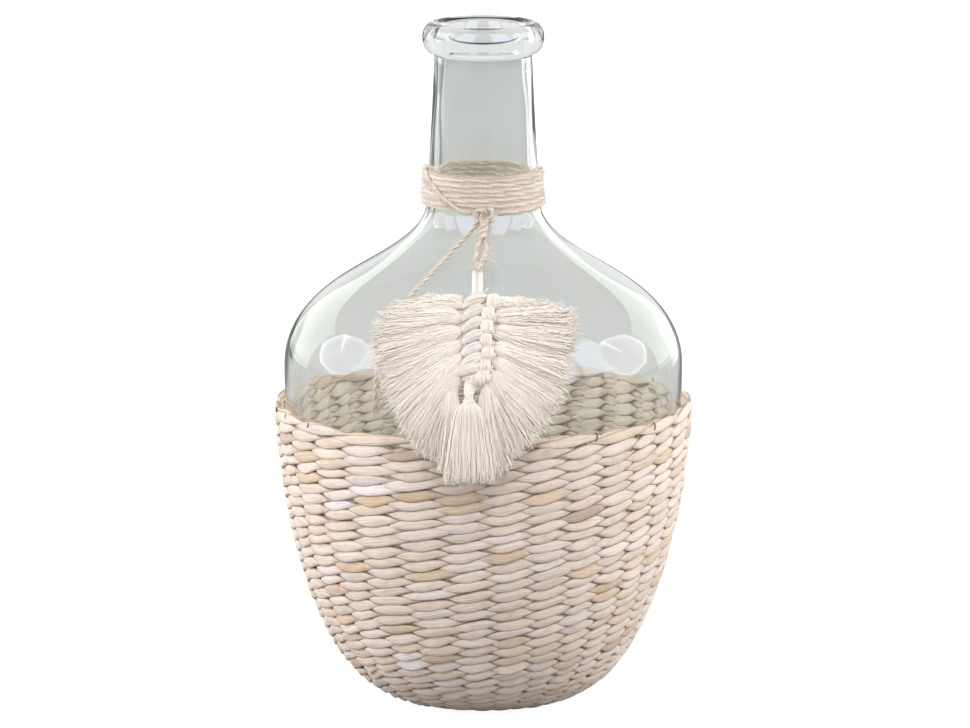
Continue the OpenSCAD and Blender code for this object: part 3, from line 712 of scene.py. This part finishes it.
# %% Winding, with two bands under it that close the gaps between the turns
rng = np.random.default_rng(21)
wrap_parts = rope(wrap_path, 2.3, 21.0, jute_tint, rng, step=0.8, ply=0.37, wobble=0.05)
under_z = linspace(220.6, 235.6, 30)[:, None]
under_a = linspace(0, 2 * pi, 97)
under_faces = grid_faces(30, 97, False)
for off, tone in ((0.35, 0.92), (1.7, 0.98)):
    under = round_middle(glass_r(under_z) + off, under_a, under_z)
    strand = stacked(under[..., 0], under[..., 2] * 3, under[..., 1])
    wrap_parts.append(part(under, under_faces, strand, jute_tint * tone))
for share, count in ((1.25, 3700), (0.82, 1900)):
    hair_tint = np.minimum(jute_tint * share, 0.95)
    wrap_parts.append(fuzz(wrap_path, count, 4.6, hair_tint, rng, 0.05, 0.75, places=4))

# %% Long curled hairs that stand up from the top turn
strays = []
v = linspace(0, 1, 14)
for k in range(70):
    a = math.radians(rng.uniform(-170, -10) if k < 50 else rng.uniform(0, 180))
    tall, lean_by = rng.uniform(1.5, 6.5), rng.normal(0, 2.5)
    twirl, begin = rng.uniform(0.5, 1.6), rng.uniform(0, 6.3)
    sway = lean_by * v + twirl * (sin(7 * v + begin) - math.sin(begin))
    r = glass_r(234.0) + 2.3 + 1.0 * sin(3 * v + begin) * v
    strays.append(stacked(r * math.cos(a) - math.sin(a) * sway,
                          r * math.sin(a) + math.cos(a) * sway,
                          234.8 + tall * v - 1.2 * v**3 * twirl))
stray_tint = np.minimum(jute_tint * 1.2, 0.95)
wrap_parts.append(threads(np.array(strays), 0.07, 4, stray_tint, rng))
wrap = new_piece("neck_twine", wrap_parts, "bottle", jute)
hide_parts("neck_twine_wrap")

# %% Knot in front
t = linspace(0, 2 * pi, 160)
knot_line = stacked(
    knot_x + 3.5 * (sin(t) + 2 * sin(2 * t)) / 3,
    -knot_out - 1.1 * sin(3 * t),
    knot_z - 0.3 + 4.1 * (cos(t) - 2 * cos(2 * t)) / 3)
knot_parts = rope(knot_line, 2.3, 7.0, jute_tint, rng, ends=0.01, ply=0.31, wobble=0.07)
knot_parts.append(fuzz(knot_line, 450, 4.5, jute_tint * 1.2, rng, 0.065, 0.8))
knot = new_piece("twine_knot_loops", knot_parts, "bottle", jute)
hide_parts("twine_knot")

# %% [markdown]
# ## Hanger
# A doubled length of twine hangs from the knot. Its two runs twist round each other, open
# to a narrow eye, and close round the loop of the cotton cord.

# %% Bend of the leaf, as distance in front of the middle line and height
leaf_x, half_w = -3.0, 44.0
leaf_top_z, leaf_tip_z = 194.0, 115.0
leaf_h = leaf_top_z - leaf_tip_z
leaf_slope = math.radians(37)
tip_out = wall_point(border_run, 0)[0] + wall_d + 2.5 + 4.5
leaf_top = np.array([62.0, leaf_top_z])
drape = [leaf_top,
         leaf_top + leaf_h * 0.38 * np.array([math.cos(leaf_slope), -math.sin(leaf_slope)]),
         np.array([tip_out, leaf_tip_z + leaf_h * 0.47]), np.array([tip_out, leaf_tip_z])]
drape_t = linspace(0, 1, 200)
drape_z = bezier(drape, drape_t)[:, 1]


def in_front(x, p):
    """Points in space, from places sideways and points in front of the middle line."""
    return stacked(x, -p[..., 0], p[..., 1])


def leaf_point(x, z, out):
    """A place on the leaf: sideways, height, and distance in front of its middle layer."""
    x, z, out = np.broadcast_arrays(*(np.asarray(v, float) for v in (x, z, out)))
    return in_front(x, beside(drape, np.interp(z, drape_z[::-1], drape_t[::-1]), -out))


def leaf_z(share):
    return leaf_top_z - leaf_h * np.asarray(share)


# %% Hanger strands
hang_from = np.array([knot_out, knot_z])
hang_way = unit(leaf_top - hang_from)
hang_top = hang_from + hang_way * 2.2
hang_out = np.array([-hang_way[1], hang_way[0]])
cord_r, twine_r = 0.95, 0.85
loop_r = cord_r + twine_r + 0.1
hang_run = np.linalg.norm(leaf_top - hang_way * 9 - hang_top)
hang_x = leaf_x + 1.2
u = linspace(0, 1, 60)
close, wide = 1.0, 1.9
last = ease((u - 0.74) / 0.26)
half = close + (wide - close) * ease((u - 0.30) / 0.3) * (1 - last)
half = half + (loop_r - 0.9 - close) * last
spin = np.radians(-540 * (1 - ease(u / 0.5)) + 90 * ease((u - 0.62) / 0.38))


def hanger_side(side):
    w = side * half
    p = hang_top + hang_way * (hang_run * u)[:, None] + hang_out * (w * sin(spin))[:, None]
    return in_front(knot_x + (hang_x - knot_x) * u + w * cos(spin), p)


a = linspace(0, pi, 14)[1:-1]
centre = hang_top + hang_way * hang_run
bend = centre + (loop_r - 0.3) * (hang_out * cos(a)[:, None] + hang_way * sin(a)[:, None])
hanger_line = np.concatenate([hanger_side(1), in_front(hang_x, bend), hanger_side(-1)[::-1]])
rng = np.random.default_rng(23)
hanger_parts = rope(hanger_line, 2.4, 7.0, jute_tint, rng, ply=0.30, wobble=0.10)
hanger_parts.append(fuzz(hanger_line, 1300, 3.8, jute_tint * 1.2, rng, 0.065, 0.8))
hanger = new_piece("doubled_twine", hanger_parts, "leaf", jute)
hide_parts("twine_hanger")

# %% [markdown]
# ## Cotton leaf
# The leaf is one cotton cord with short cords knotted across it, seven a side. The knots
# make a ridge down the middle: slanting loops on the left and round wrapped bumps on the
# right. Outside the knots every cord is combed out into loose threads and trimmed to the
# leaf's outline. Hair particles could do this, but threads written as thin tubes can be
# gathered at the knot, spread to the cut edge and laid over each other where wanted.

# %% Outline of the leaf and the rows of knots, as shares of half its width and of its height
left_outline = np.array([
    [0.14, 0.035], [0.50, 0.045], [0.85, 0.10], [0.97, 0.17], [1.00, 0.26], [0.98, 0.33],
    [0.94, 0.41], [0.89, 0.48], [0.83, 0.55], [0.77, 0.625], [0.70, 0.695], [0.60, 0.78],
    [0.47, 0.85], [0.25, 0.95], [0.02, 0.99]])
right_outline = np.array([
    [0.10, 0.035], [0.45, 0.06], [0.75, 0.085], [0.94, 0.12], [0.97, 0.20], [0.95, 0.27],
    [0.90, 0.36], [0.88, 0.42], [0.85, 0.50], [0.82, 0.55], [0.75, 0.61], [0.61, 0.73],
    [0.43, 0.82], [0.24, 0.94], [0.02, 0.99]])
left_rows = [188.5, 183.9, 179.5, 174.9, 170.4, 166.3, 162.6]
right_rows = [187.6, 183.1, 178.3, 173.2, 168.4, 163.6, 159.6]
right_bump_x = [4.2, 2.0, 1.4, 0.9, 1.7, 0.5, -0.2]


# %% Bundle: combed threads laid side by side along a path
def bundle(path, half_side, half_out, side_way, count, radius, rng, twist=0.0):
    """Threads on the skin of a flattened rope. side_way is its wide direction."""
    path = np.asarray(path, float)
    n = len(path)
    half_side, half_out = np.broadcast_to(half_side, n), np.broadcast_to(half_out, n)
    side_way = np.asarray(side_way, float)
    way = unit(np.gradient(path, axis=0))
    side = unit(side_way[None] - way * (way @ side_way)[:, None])
    out = np.cross(way, side)
    u = linspace(0, 1, n)
    spaced = (np.arange(count) + rng.uniform(-0.3, 0.3, count))[:, None]
    beta = 2 * pi * spaced / count + twist * u[None]
    grow = 1 + rng.uniform(-0.07, 0.05, count)[:, None]
    lines = (path[None] + side[None] * (half_side[None] * grow * cos(beta))[..., None]
             + out[None] * (half_out[None] * grow * sin(beta))[..., None])
    shade = cotton_tint * rng.uniform(0.9, 1.06, count)[:, None]
    skin = threads(lines, radius, 5, shade, rng, point_end=False)
    angle = full_turn(16)
    core = path[:, None] + side[:, None] * (cos(angle) * half_side[:, None] * 0.95)[..., None]
    core = core + out[:, None] * (sin(angle) * half_out[:, None] * 0.95)[..., None]
    place = stacked(u[:, None] * 8, cos(angle), sin(angle))
    return [skin, part(core, grid_faces(n, len(angle), True), place, cotton_tint * 0.8)]


# %% Threads of one string
def along_edge(place, along, values):
    """A value along the cut edge, carried on straight past its ends."""
    slope_low = (values[1] - values[0]) / (along[1] - along[0])
    slope_high = (values[-1] - values[-2]) / (along[-1] - along[-2])
    past = np.minimum(place, 0) * slope_low
    return np.interp(place, along, values) + past + np.maximum(place - along[-1], 0) * slope_high


def combed_out(i, side, outline_shares, root_x, root_z, rng, loop=None):
    """Threads from the knot to their part of the cut edge, row i counted from the top.
    loop leads them in, as rows of x, z, out and plumpness."""
    count = 270
    top, lowest = i == 0, i == 6
    edge = outline_shares[2 * i:2 * i + 3] * [half_w, 1]
    edge = stacked(leaf_x + side * edge[:, 0], leaf_z(edge[:, 1]))
    along = run_along(edge)
    turn, rad = rng.uniform(0, 2 * pi, count), np.sqrt(rng.uniform(0, 1, count))
    high, layer = (rad * cos(turn))[:, None], (rad * sin(turn))[:, None]
    spread = 0.5 - 0.60 * high[:, 0] + rng.normal(0, 0.12, count)
    if top:
        spread = 0.42 + 0.58 * np.maximum(spread, 0.1 * rng.uniform(0, 1, count))
    if lowest:
        spread = np.clip(spread, 0, 1) ** 0.8
    end_x = along_edge(spread * along[-1], along, edge[:, 0])
    end_z = along_edge(spread * along[-1], along, edge[:, 1])
    cut = 1 + rng.normal(0, 0.026, count) - 0.09 * rng.uniform(0, 1, count) ** 3
    end_x, end_z = root_x + (end_x - root_x) * cut, root_z + (end_z - root_z) * cut
    mid_x, mid_z = end_x.mean(), end_z.mean()
    dx, dz = mid_x - root_x, mid_z - root_z
    reach = math.hypot(dx, dz)
    down = (0.0, 0.03, 0.10, 0.20, 0.32, 0.46, 0.80)[i]  # How far the row points down
    lift = (0.10, 0.035, 0, 0, 0, 0, 0)[i]
    pull_x = root_x + side * reach * 0.36 * (1 - 0.8 * down)
    pull_z = root_z - reach * 0.30 * down + dz * 0.22 + lift * reach
    near_x, near_z = root_x + dx * 0.70 + side * reach * 0.035, root_z + dz * 0.66
    if lowest:
        pull_x, near_x = root_x + side * 0.3 + dx * 0.12, root_x + dx * 0.58
    t = linspace(0, 1, 20)
    line_x, line_z = bezier(np.array([
        (root_x, root_z), (pull_x, pull_z), (near_x, near_z), (mid_x, mid_z)]), t).T
    first_way = unit(np.array([pull_x - root_x, pull_z - root_z]))
    up_x, up_z = -side * first_way[1], side * first_way[0]
    width = (1.1 + (1.3 if top else 1.5) * ease(t / 0.14)) * (1 - t)
    width = width * (0.5 if lowest and side < 0 else 1)
    x = line_x + up_x * high * width + (end_x - mid_x)[:, None] * t
    z = line_z + up_z * high * width + (end_z - mid_z)[:, None] * t
    # Crimp left from the cord's twist, slow waves, and a curl at the tip
    wave = rng.normal(0, 0.5, (count, 3))
    crimp = rng.uniform(0.06, 0.24, count)[:, None]
    turns, begin = rng.uniform(4, 8, count)[:, None], rng.uniform(0, 6.3, count)[:, None]
    curl = rng.normal(0, 1.1, (count, 2))
    if top:
        curl[:, 1] = -0.4 * np.abs(curl[:, 1])
    tip = (np.clip(t - 0.8, 0, 1) / 0.2) ** 2
    rising = np.minimum(t * 3, 1)
    crimp_turn = 6.3 * turns * t + begin
    x = (x + wave[:, :1] * sin(2.2 * pi * t) * t + crimp * sin(crimp_turn) * rising
         + curl[:, :1] * tip)
    z = (z + wave[:, 1:2] * sin(2.9 * pi * t) * t + crimp * cos(crimp_turn) * rising
         + curl[:, 1:] * tip)
    plump, swell, swell_end = (0.4, 0.8, 0.4) if loop is None else (0.5, 1.1, 0.5)
    swollen = plump + swell * sin(pi * np.clip(t / swell_end, 0, 1))
    out = layer * (0.9 + 0.6 * ease(t / 0.15) - 0.2 * t) + swollen + wave[:, 2:] * t**2 * 0.9
    if loop is not None:
        lead_x, lead_z, lead_out, thick = loop.T[:, None]
        x = np.concatenate([lead_x + 0 * high, x], 1)
        z = np.concatenate([lead_z + high * thick * 2.15, z], 1)
        out = np.concatenate([lead_out + layer * thick * 1.5, out], 1)
    z = np.maximum(z, leaf_tip_z + 0.2)
    # Painted light and shade on the threads: those on the lower side of a bundle are darker, as
    # painted shade. Those in the front layer, in the lower rows and in the top row are lighter, as
    # painted light
    under = np.clip((-high - 0.3) / 0.5, 0, 1)
    tone = 0.88 + 0.14 * rng.uniform(0, 1, count)[:, None] + 0.03 * (layer > 0)
    tone = np.minimum(tone + 0.24 * down - 0.10 * under + 0.07 * top, 1.06)
    # Painted shade: the threads are darker along the loop, with a stripe that changes from thread
    # to thread
    painted_shade_in_loop = np.arange(x.shape[1]) < (0 if loop is None else len(loop))
    tone = tone * np.where(painted_shade_in_loop, 0.88 + 0.09 * sin(9 * turn)[:, None], 1.0)
    radius = 0.2 + 0.05 * down
    return threads(leaf_point(x, z, out), radius, 4, cotton_tint * tone[..., None], rng)


# %% Backing of one string, so that no light shows between the threads
def backing(i, side, outline_shares, root_x, root_z):
    edge = outline_shares[2 * i:2 * i + 3]
    u, v = linspace(0, 1, 7), linspace(0, 0.86, 8)
    share_x, share_z = (np.interp(u, [0, 0.5, 1], edge[:, k]) for k in (0, 1))
    end_x, end_z = leaf_x + side * share_x * half_w, leaf_z(share_z)
    start_x, start_z = np.full(7, root_x), root_z - (u - 0.5) * 4.8
    x = start_x[:, None] + (end_x - start_x)[:, None] * v
    z = start_z[:, None] + (end_z - start_z)[:, None] * v
    sag = (0.0, 0.0, 0.3, 0.6, 1.0, 1.4, 1.5)[i]
    z = z - sag * sin(pi * v)[None] * 0.6
    pts = np.concatenate([leaf_point(x, z, out) for out in (0.2, -0.8)])
    face = grid_faces(7, 8, False)
    faces = np.concatenate([face, face[:, ::-1] + 7 * 8])
    return part(pts, faces, stacked(pts[..., 0] * 0.4, pts[..., 2] * 4, 0), cotton_tint * 0.9)


# %% Strings on the left: slanting loops that open into the fringe
rng = np.random.default_rng(31)
u = linspace(0, 1, 13)[:-1]
for i, row_z in enumerate(left_rows):
    root_x, root_z = -8.6 - 0.12 * i - 4.0 * (i == 6), row_z - 1.9
    loop = stacked(
        0.8 + (root_x - 0.8) * u, row_z + 1.3 - 3.2 * u,
        0.5 + 2.7 * sin(pi * (0.10 + 0.80 * u)),
        0.35 + 0.68 * sin(pi * (0.05 + 0.88 * u)) ** 0.8)
    if i == 0:
        loop[:, 0] += 1.0 * (1 - u)
        loop[:, 1] -= 0.7 * (1 - u)
    place = (i, -1, left_outline, root_x, root_z)
    parts = [combed_out(*place, rng, loop), backing(*place)]
    piece = new_piece(f"left_string_{i + 1}", parts, "leaf", cotton)
    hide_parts(f"leaf_string_left_{i + 1}")

# %% Strings on the right: wrapped bumps
bump_a = np.radians(linspace(-20, 200, 20))
bump_rise = np.clip(sin(bump_a), 0, 1)
for i, (row_z, bump_x) in enumerate(zip(right_rows, right_bump_x)):
    root_x, root_z = bump_x + 1.6, row_z - 1.0
    place = (i, 1, right_outline, root_x, root_z)
    parts = [combed_out(*place, rng), backing(*place)]
    bump = leaf_point(bump_x + 0.3 * cos(bump_a), row_z + 2.2 * cos(bump_a),
                      1.1 + 2.2 * sin(bump_a))
    parts += bundle(bump, 1.75 + 0.75 * bump_rise, 0.75 + 0.35 * bump_rise, (1, 0, 0),
                    34, 0.22, rng)
    across = leaf_point(linspace(root_x - 4.6, root_x + 2.0, 8),
                        linspace(row_z - 0.6, row_z - 1.6, 8), 1.2)
    parts += bundle(across, 2.1, 1.3, (0, 0, 1), 30, 0.2, rng)
    piece = new_piece(f"right_string_{i + 1}", parts, "leaf", cotton)
    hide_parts(f"leaf_string_right_{i + 1}")

# %% [markdown]
# ## Cotton loop, end knot and tassel
# The cord that carries the leaf shows above it as a short doubled loop in the eye of the
# twine. Below the last row it is gathered in a round knot, and the tassel hangs from that
# by a thin neck. The tassel is a bunch of threads bound near its top, so it spreads like
# a narrow bell.

# %% Cotton loop and spine
rng = np.random.default_rng(41)
loop_centre = leaf_top - hang_way * (9 - loop_r)
a = linspace(0, pi, 12)
arc = in_front(leaf_x + 0.5 - 1.05 * cos(a), loop_centre - hang_way * 1.7 * sin(a)[:, None])
run_z = linspace(158, 193, 24)
left_run, right_run = (leaf_point(leaf_x + x, run_z, 0.6) for x in (-0.6, 1.6))
spine_line = evenly(np.concatenate([left_run, arc, right_run[::-1]]), 1.0)
spine_parts = bundle(spine_line, 1.05, 1.0, (1, 0.3, 0), 16, 0.22, rng, twist=5.0)
stray_t = linspace(0, 1, 8)
stray = stacked(linspace(-0.2, 2.2, 8), linspace(-65.5, -66.5, 8), 190.0 + 4.2 * stray_t**0.8)
spine_parts.append(threads(stray[None], 0.38, 6, cotton_tint * 1.04, rng))
spine = new_piece("cotton_cord", spine_parts, "leaf", cotton)
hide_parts("leaf_spine_cord")

# %% End knot
a = np.radians(linspace(-25, 205, 18))
swell = np.clip(sin(a), 0, 1)
path = leaf_point(-2.6, 158.0 + 2.0 * cos(a), 1.6 + 2.4 * sin(a))
end_parts = bundle(path, 2.0 + 0.9 * swell, 0.8 + 0.4 * swell, (1, 0, 0.1), 34, 0.22, rng)
u = linspace(0, 1, 14)
arch = sin(pi * u)
for x0, x1, z0, z1, sag, lift, thick in (
        (-9.4, -0.4, 161.0, 161.3, -0.6, 1.6, 1.15), (-6.4, -0.4, 156.2, 157.6, 1.3, 1.5, 0.85),
        (-8.6, -3.0, 158.8, 159.3, 0.2, 1.2, 1.1), (-7.2, -1.8, 155.2, 155.9, 0.9, 1.0, 0.8)):
    path = leaf_point(x0 + (x1 - x0) * u, z0 + (z1 - z0) * u - sag * arch, 1.3 + lift * arch)
    end_parts += bundle(path, thick * (0.6 + 0.4 * arch), thick * 0.85, (0, 0, 1), 16, 0.2, rng,
                        twist=1.5)
on_leaf = leaf_point([-5.4, -5.7, -6.0], [159.0, 157.2, 155.6], [1.0, 1.6, 2.0])
neck_line = evenly(np.concatenate([on_leaf, [[-6.1, -98.25, 153.6], [-6.1, -98.3, 152.5]]]), 0.4)
taper = 2.05 - 0.55 * ease((linspace(0, 1, len(neck_line)) - 0.70) / 0.30)
end_parts += bundle(neck_line, taper, taper * 0.9, (1, 0, 0), 24, 0.22, rng)
end_knot = new_piece("cotton_end_knot", end_parts, "leaf", cotton)
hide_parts("leaf_end_knot")

# %% Tassel
tassel_at = np.array([-6.08, -98.3186, 152.937])
lean = math.radians(7.55)


def tassel_point(x, y, z):
    """From the tassel's own upright place to where it hangs."""
    y2 = y * math.cos(lean) + z * math.sin(lean)
    return tassel_at + stacked(x, y2, -y * math.sin(lean) + z * math.cos(lean))


count = 560
drops = np.array([1.5, 1.9, 2.5, 3.1, 4.2, 5.9, 8.6, 13, 17, 21, 25, 29, 32.5, 36.2])
wide = np.array([1.6, 1.8, 2.1, 3.1, 4.5, 5.6, 6.6, 7.5, 8.3, 9.0, 9.6, 10.0, 10.3, 10.5])
thick = np.array([1.5, 1.6, 1.8, 2.1, 2.6, 2.9, 3.1, 3.2, 3.3, 3.3, 3.3, 3.3, 3.3, 3.3])
beta = rng.uniform(0, 2 * pi, count)
depth = np.sqrt(rng.uniform(0.05, 1, count))
loose_from = 2.5
fallen = (drops - loose_from) / (drops[-1] - loose_from) * (drops > loose_from)
wave = rng.normal(0, 0.35, (count, 2))
curl = rng.normal(0, 0.9, (count, 1)) * np.clip((fallen - 0.8) / 0.2, 0, 1) ** 2
x = (depth[:, None] * cos(beta)[:, None] * wide + wave[:, :1] * sin(9 * fallen) * fallen
     + curl)
y = (depth[:, None] * sin(beta)[:, None] * thick - 1.0 * fallen
     + wave[:, 1:] * 0.5 * sin(7 * fallen) * fallen)
long = 1 + rng.normal(0, 0.022, count) - 0.06 * rng.uniform(0, 1, count) ** 3
z = -drops[None] * (1 + (long[:, None] - 1) * fallen)
tone = rng.uniform(0.98, 1.07, count)[:, None]
tassel_parts = [threads(tassel_point(x, y, z), 0.23, 4, cotton_tint * tone, rng)]
stem = tassel_point(np.zeros(6), 0, linspace(0.6, -2.6, 6))
tassel_parts += bundle(stem, linspace(1.3, 2.0, 6), linspace(1.2, 1.8, 6), (1, 0, 0), 24, 0.22,
                       rng)
tassel = new_piece("tassel_threads", tassel_parts, "tassel", cotton)
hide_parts("tassel_skirt")
a = linspace(0, 2 * pi * 3.4, 120)
binding_line = tassel_point(2.15 * cos(a), 2.0 * sin(a), -1.5 - 1.2 * a / a[-1])
binding_parts = rope(binding_line, 0.8, 3.0, cotton_tint, rng, step=0.4)
binding = new_piece("tassel_binding_thread", binding_parts, "tassel", cotton)
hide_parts("tassel_binding")

# %% [markdown]
# ## Floor, world and lamps
# The photograph is a studio shot on white. The floor is pale and keeps the bottle's
# shadow, and to the camera and through glass it looks white. What gives glass its form is
# what it mirrors: a pale room behind, a dim one in front, a big round lamp at each side
# and tall panels behind. They stand round the bottle where their reflections in the
# photograph say.

# %% Floor
floor_mesh = bpy.data.meshes.new("floor")
reach = 12.0
floor_mesh.from_pydata(
    [(-reach, -reach, 0), (reach, -reach, 0), (reach, reach, 0), (-reach, reach, 0)], [],
    [(0, 1, 2, 3)])
floor = bpy.data.objects.new("floor", floor_mesh)
put_in_scene(floor)
floor_mat, tree, shader = new_material("white_floor")
camera_glow, glass_glow = 0.92, 0.31
ray = add_node(tree, "LightPath", {})
glow = add_node(tree, "Math", {0: ray["Is Camera Ray"], 1: camera_glow}, operation="MULTIPLY")
through = add_node(tree, "Math", {
    0: ray["Is Transmission Ray"], 1: glass_glow, 2: glow["Value"]}, operation="MULTIPLY_ADD")
feed(tree, shader, {
    "Base Color": (0.30, 0.30, 0.296, 1), "Roughness": 0.9, "Specular IOR Level": 0.1,
    "Emission Color": (1, 1, 1, 1), "Emission Strength": through["Value"]})
floor_mesh.materials.append(floor_mat)

# %% World: white to the camera, a room of bands to glass, and an even light to the rest
world = bpy.data.worlds.new("studio")
bpy.context.scene.world = world
world.use_nodes = True
tree = world.node_tree
tree.nodes.clear()
soft = add_node(tree, "Background", {"Color": (0.97, 0.98, 1.0, 1), "Strength": 0.52})
white = add_node(tree, "Background", {"Color": (1, 1, 1, 1)})
where = add_node(tree, "TexCoord", {})
split = add_node(tree, "SeparateXYZ", {"Vector": where["Generated"]})
to_share = add_node(tree, "MapRange", {"Value": split["Y"], "From Min": -1, "From Max": 1})
ramp = tree.nodes.new("ShaderNodeValToRGB")
feed(tree, ramp, {"Fac": to_share["Result"]})
# From the front of the room, which is dim, to its back, which is pale
stops = [(0.0, (0.32, 0.33, 0.33)), (0.05, (0.46, 0.47, 0.47)), (0.13, (0.61, 0.63, 0.63)),
         (0.50, (0.68, 0.70, 0.70)), (0.66, (0.82, 0.85, 0.84)), (0.8, (0.92, 0.93, 0.92))]
steps = ramp.color_ramp.elements
steps[0].position, steps[1].position = stops[0][0], stops[-1][0]
for position, _ in stops[1:-1]:
    steps.new(position)
for step, (_, colour) in zip(steps, stops):
    step.color = (*colour, 1)
room = add_node(tree, "Background", {"Color": ramp.outputs["Color"]})
ray = add_node(tree, "LightPath", {})
bent = add_node(tree, "Math", {
    0: ray["Is Glossy Ray"], 1: ray["Is Transmission Ray"]}, operation="MAXIMUM")
mix = add_node(tree, "MixShader", {
    "Fac": bent["Value"], 1: soft["Background"], 2: room["Background"]})
seen = add_node(tree, "MixShader", {
    "Fac": ray["Is Camera Ray"], 1: mix["Shader"], 2: white["Background"]})
add_node(tree, "OutputWorld", {"Surface": seen["Shader"]})

# %% Lamps
aim = np.array([0, 0, 0.17])
sides = ((-1, "left"), (1, "right"))


def facing(direction):
    """Directions away from the bottle, to the right and up, of a thing that faces it."""
    away = unit(np.array(direction, float))
    right = unit(np.cross((0, 0, 1), away))
    return away, right, np.cross(away, right)


def lamp(name, direction, distance, size, brightness, colour, shape="RECTANGLE", mirrored=False):
    """A soft lamp of even brightness that faces the bottle. It lights, or is only mirrored."""
    data = bpy.data.lights.new(name, "AREA")
    data.shape = shape
    data.size, data.size_y = size
    area = size[0] * size[1] * (pi / 4 if shape == "DISK" else 1)
    data.energy = brightness * area * pi
    data.color = colour
    light = bpy.data.objects.new(name, data)
    away, right, up = facing(direction)
    light.location = aim + away * distance
    light.rotation_euler = Matrix((right, up, away)).transposed().to_euler()
    light.visible_glossy, light.visible_diffuse = mirrored, not mirrored
    light.visible_transmission = False
    put_in_scene(light)
    print(name, tuple(round(v, 2) for v in light.location), round(data.energy, 1), "W")


round_lamp_x, round_lamp_yz = 0.936, (0.082, 0.342)
for side, name in sides:
    left = side < 0
    lamp(f"round_lamp_{name}", (side * round_lamp_x, *round_lamp_yz), 2.0, (1.38, 1.38), 3.95,
         (0.98, 0.97, 0.97), "DISK")
    lamp(f"front_wash_{name}", (side * 0.84, -0.39, 0.38), 2.2, (1.3, 1.5),
         2.9 if left else 2.6, (0.97, 0.96, 1.0))
    lamp(f"back_panel_{name}", (side * 0.645, 0.728, 0.233), 2.4, (1.7, 1.5),
         1.65 if left else 1.45, (0.93, 1.0, 0.89), mirrored=True)
    lamp(f"back_wash_{name}", (side * 0.63, 0.71, 0.31), 2.4, (1.9, 1.85), 1.5,
         (0.97, 1.0, 0.96))
lamp("overhead_fill", (0.0, -0.70, 0.72), 2.6, (1.8, 1.2), 3.4, (1.0, 0.98, 0.95))

# %% [markdown]
# ## Cards for the glass
# Some of what the glass shows would light the basket wrongly if it were a lamp: the tall
# windows, the umbrellas of the round lamps and the screens behind the bottle. They are
# glowing cards that only rays in the glass see, either mirrored or through it.

# %% Cards that only the glass sees
def card(name, points, levels, colour, mirrored):
    """A glowing surface that shows in reflections, or else only through the glass."""
    material = bpy.data.materials.new(name)
    material.use_nodes = True
    tree = material.node_tree
    tree.nodes.clear()
    level = add_node(tree, "Attribute", {}, attribute_name="glow")
    emit = add_node(tree, "Emission", {"Color": (*colour, 1), "Strength": level["Fac"]})
    add_node(tree, "OutputMaterial", {"Surface": emit["Emission"]})
    mesh = bpy.data.meshes.new(name)
    faces = grid_faces(points.shape[0], points.shape[1], False)
    mesh.from_pydata(points.reshape(-1, 3).tolist(), [], faces.tolist())
    glow = mesh.attributes.new("glow", "FLOAT", "POINT")
    glow.data.foreach_set("value", levels.reshape(-1).astype(np.float32))
    mesh.materials.append(material)
    thing = bpy.data.objects.new(name, mesh)
    put_in_scene(thing)
    thing.visible_camera = thing.visible_diffuse = thing.visible_shadow = False
    thing.visible_glossy, thing.visible_transmission = mirrored, not mirrored


edge_share = 0.15


def soft_edge(share):
    return ease(share / edge_share) * ease((1 - share) / edge_share)


def round_card(name, azimuths, heights, distance, level, edge_level, colour, mirrored,
               mottle=0.0):
    """Part of an upright cylinder, or of a sphere when mirrored. The front has azimuth 0."""
    u, v = linspace(0, 1, 49), linspace(0, 1, 25)[:, None]
    az = np.radians(azimuths[0] + (azimuths[1] - azimuths[0]) * u)[None]
    h = heights[0] + (heights[1] - heights[0]) * v
    if mirrored:
        el = np.radians(h)
        points = stacked(cos(el) * sin(az), -cos(el) * cos(az), sin(el)) * distance + aim
        soft = soft_edge(u)[None] * soft_edge(v)
    else:
        points = stacked(distance * sin(az), -distance * cos(az), h)
        soft = soft_edge(u)[None] * ease((1 - v) / edge_share)
    levels = edge_level + (level - edge_level) * soft
    levels = levels * (1 + mottle * rng.uniform(-1, 1, levels.shape) * soft)
    card(name, points, levels, colour, mirrored)


rng = np.random.default_rng(52)
for side, name in sides:
    round_card(f"window_{name}", (side * 14, side * 60), (3, 68), 2.6, 6.4, 0.7,
               (0.72, 0.74, 1.0), True)
    round_card(f"side_window_{name}", (side * 58, side * 90), (4, 50), 2.7, 5.4, 0.7,
               (0.76, 0.78, 1.0), True)
round_card("gap_left", (-146, -161), (0.002, 0.30), 1.2, 0.10, 0.75, (0.95, 1.0, 0.98), False,
           mottle=0.9)
round_card("screen_right", (137, 162), (0.002, 0.45), 1.25, 1.6, 0.8, (0.98, 1.0, 0.98), False)

# %% Umbrellas of the round lamps, with a bright rim and one bright rib
around = linspace(0, 2 * pi, 65)
shares = linspace(0, 1, 13)[:, None]
for side, name in sides:
    away, right, up = facing((side * round_lamp_x, *round_lamp_yz))
    rim_r = 0.69 * (1 - 0.05 * np.abs(sin(4 * around)) + 0.03 * sin(3 * around + side))
    across, above = (shares * rim_r * way(around) for way in (cos, sin))
    spot = aim + away * 1.95 + right * across[..., None] + up * above[..., None]
    level = 3.0 + 0.5 * sin(2 * around + 1)[None] * shares
    level = level + 2.2 * np.exp(-((shares - 0.92) / 0.10) ** 2)
    rib_at = 2.2 if side < 0 else 1.75
    rib = np.exp(-((np.mod(around - rib_at + pi, 2 * pi) - pi) / 0.10) ** 2)
    card(f"umbrella_{name}", spot, level + 5.0 * rib[None] * (shares > 0.1),
         (0.94, 0.93, 1.0), True)

# %% End of the scene
print("scene built")
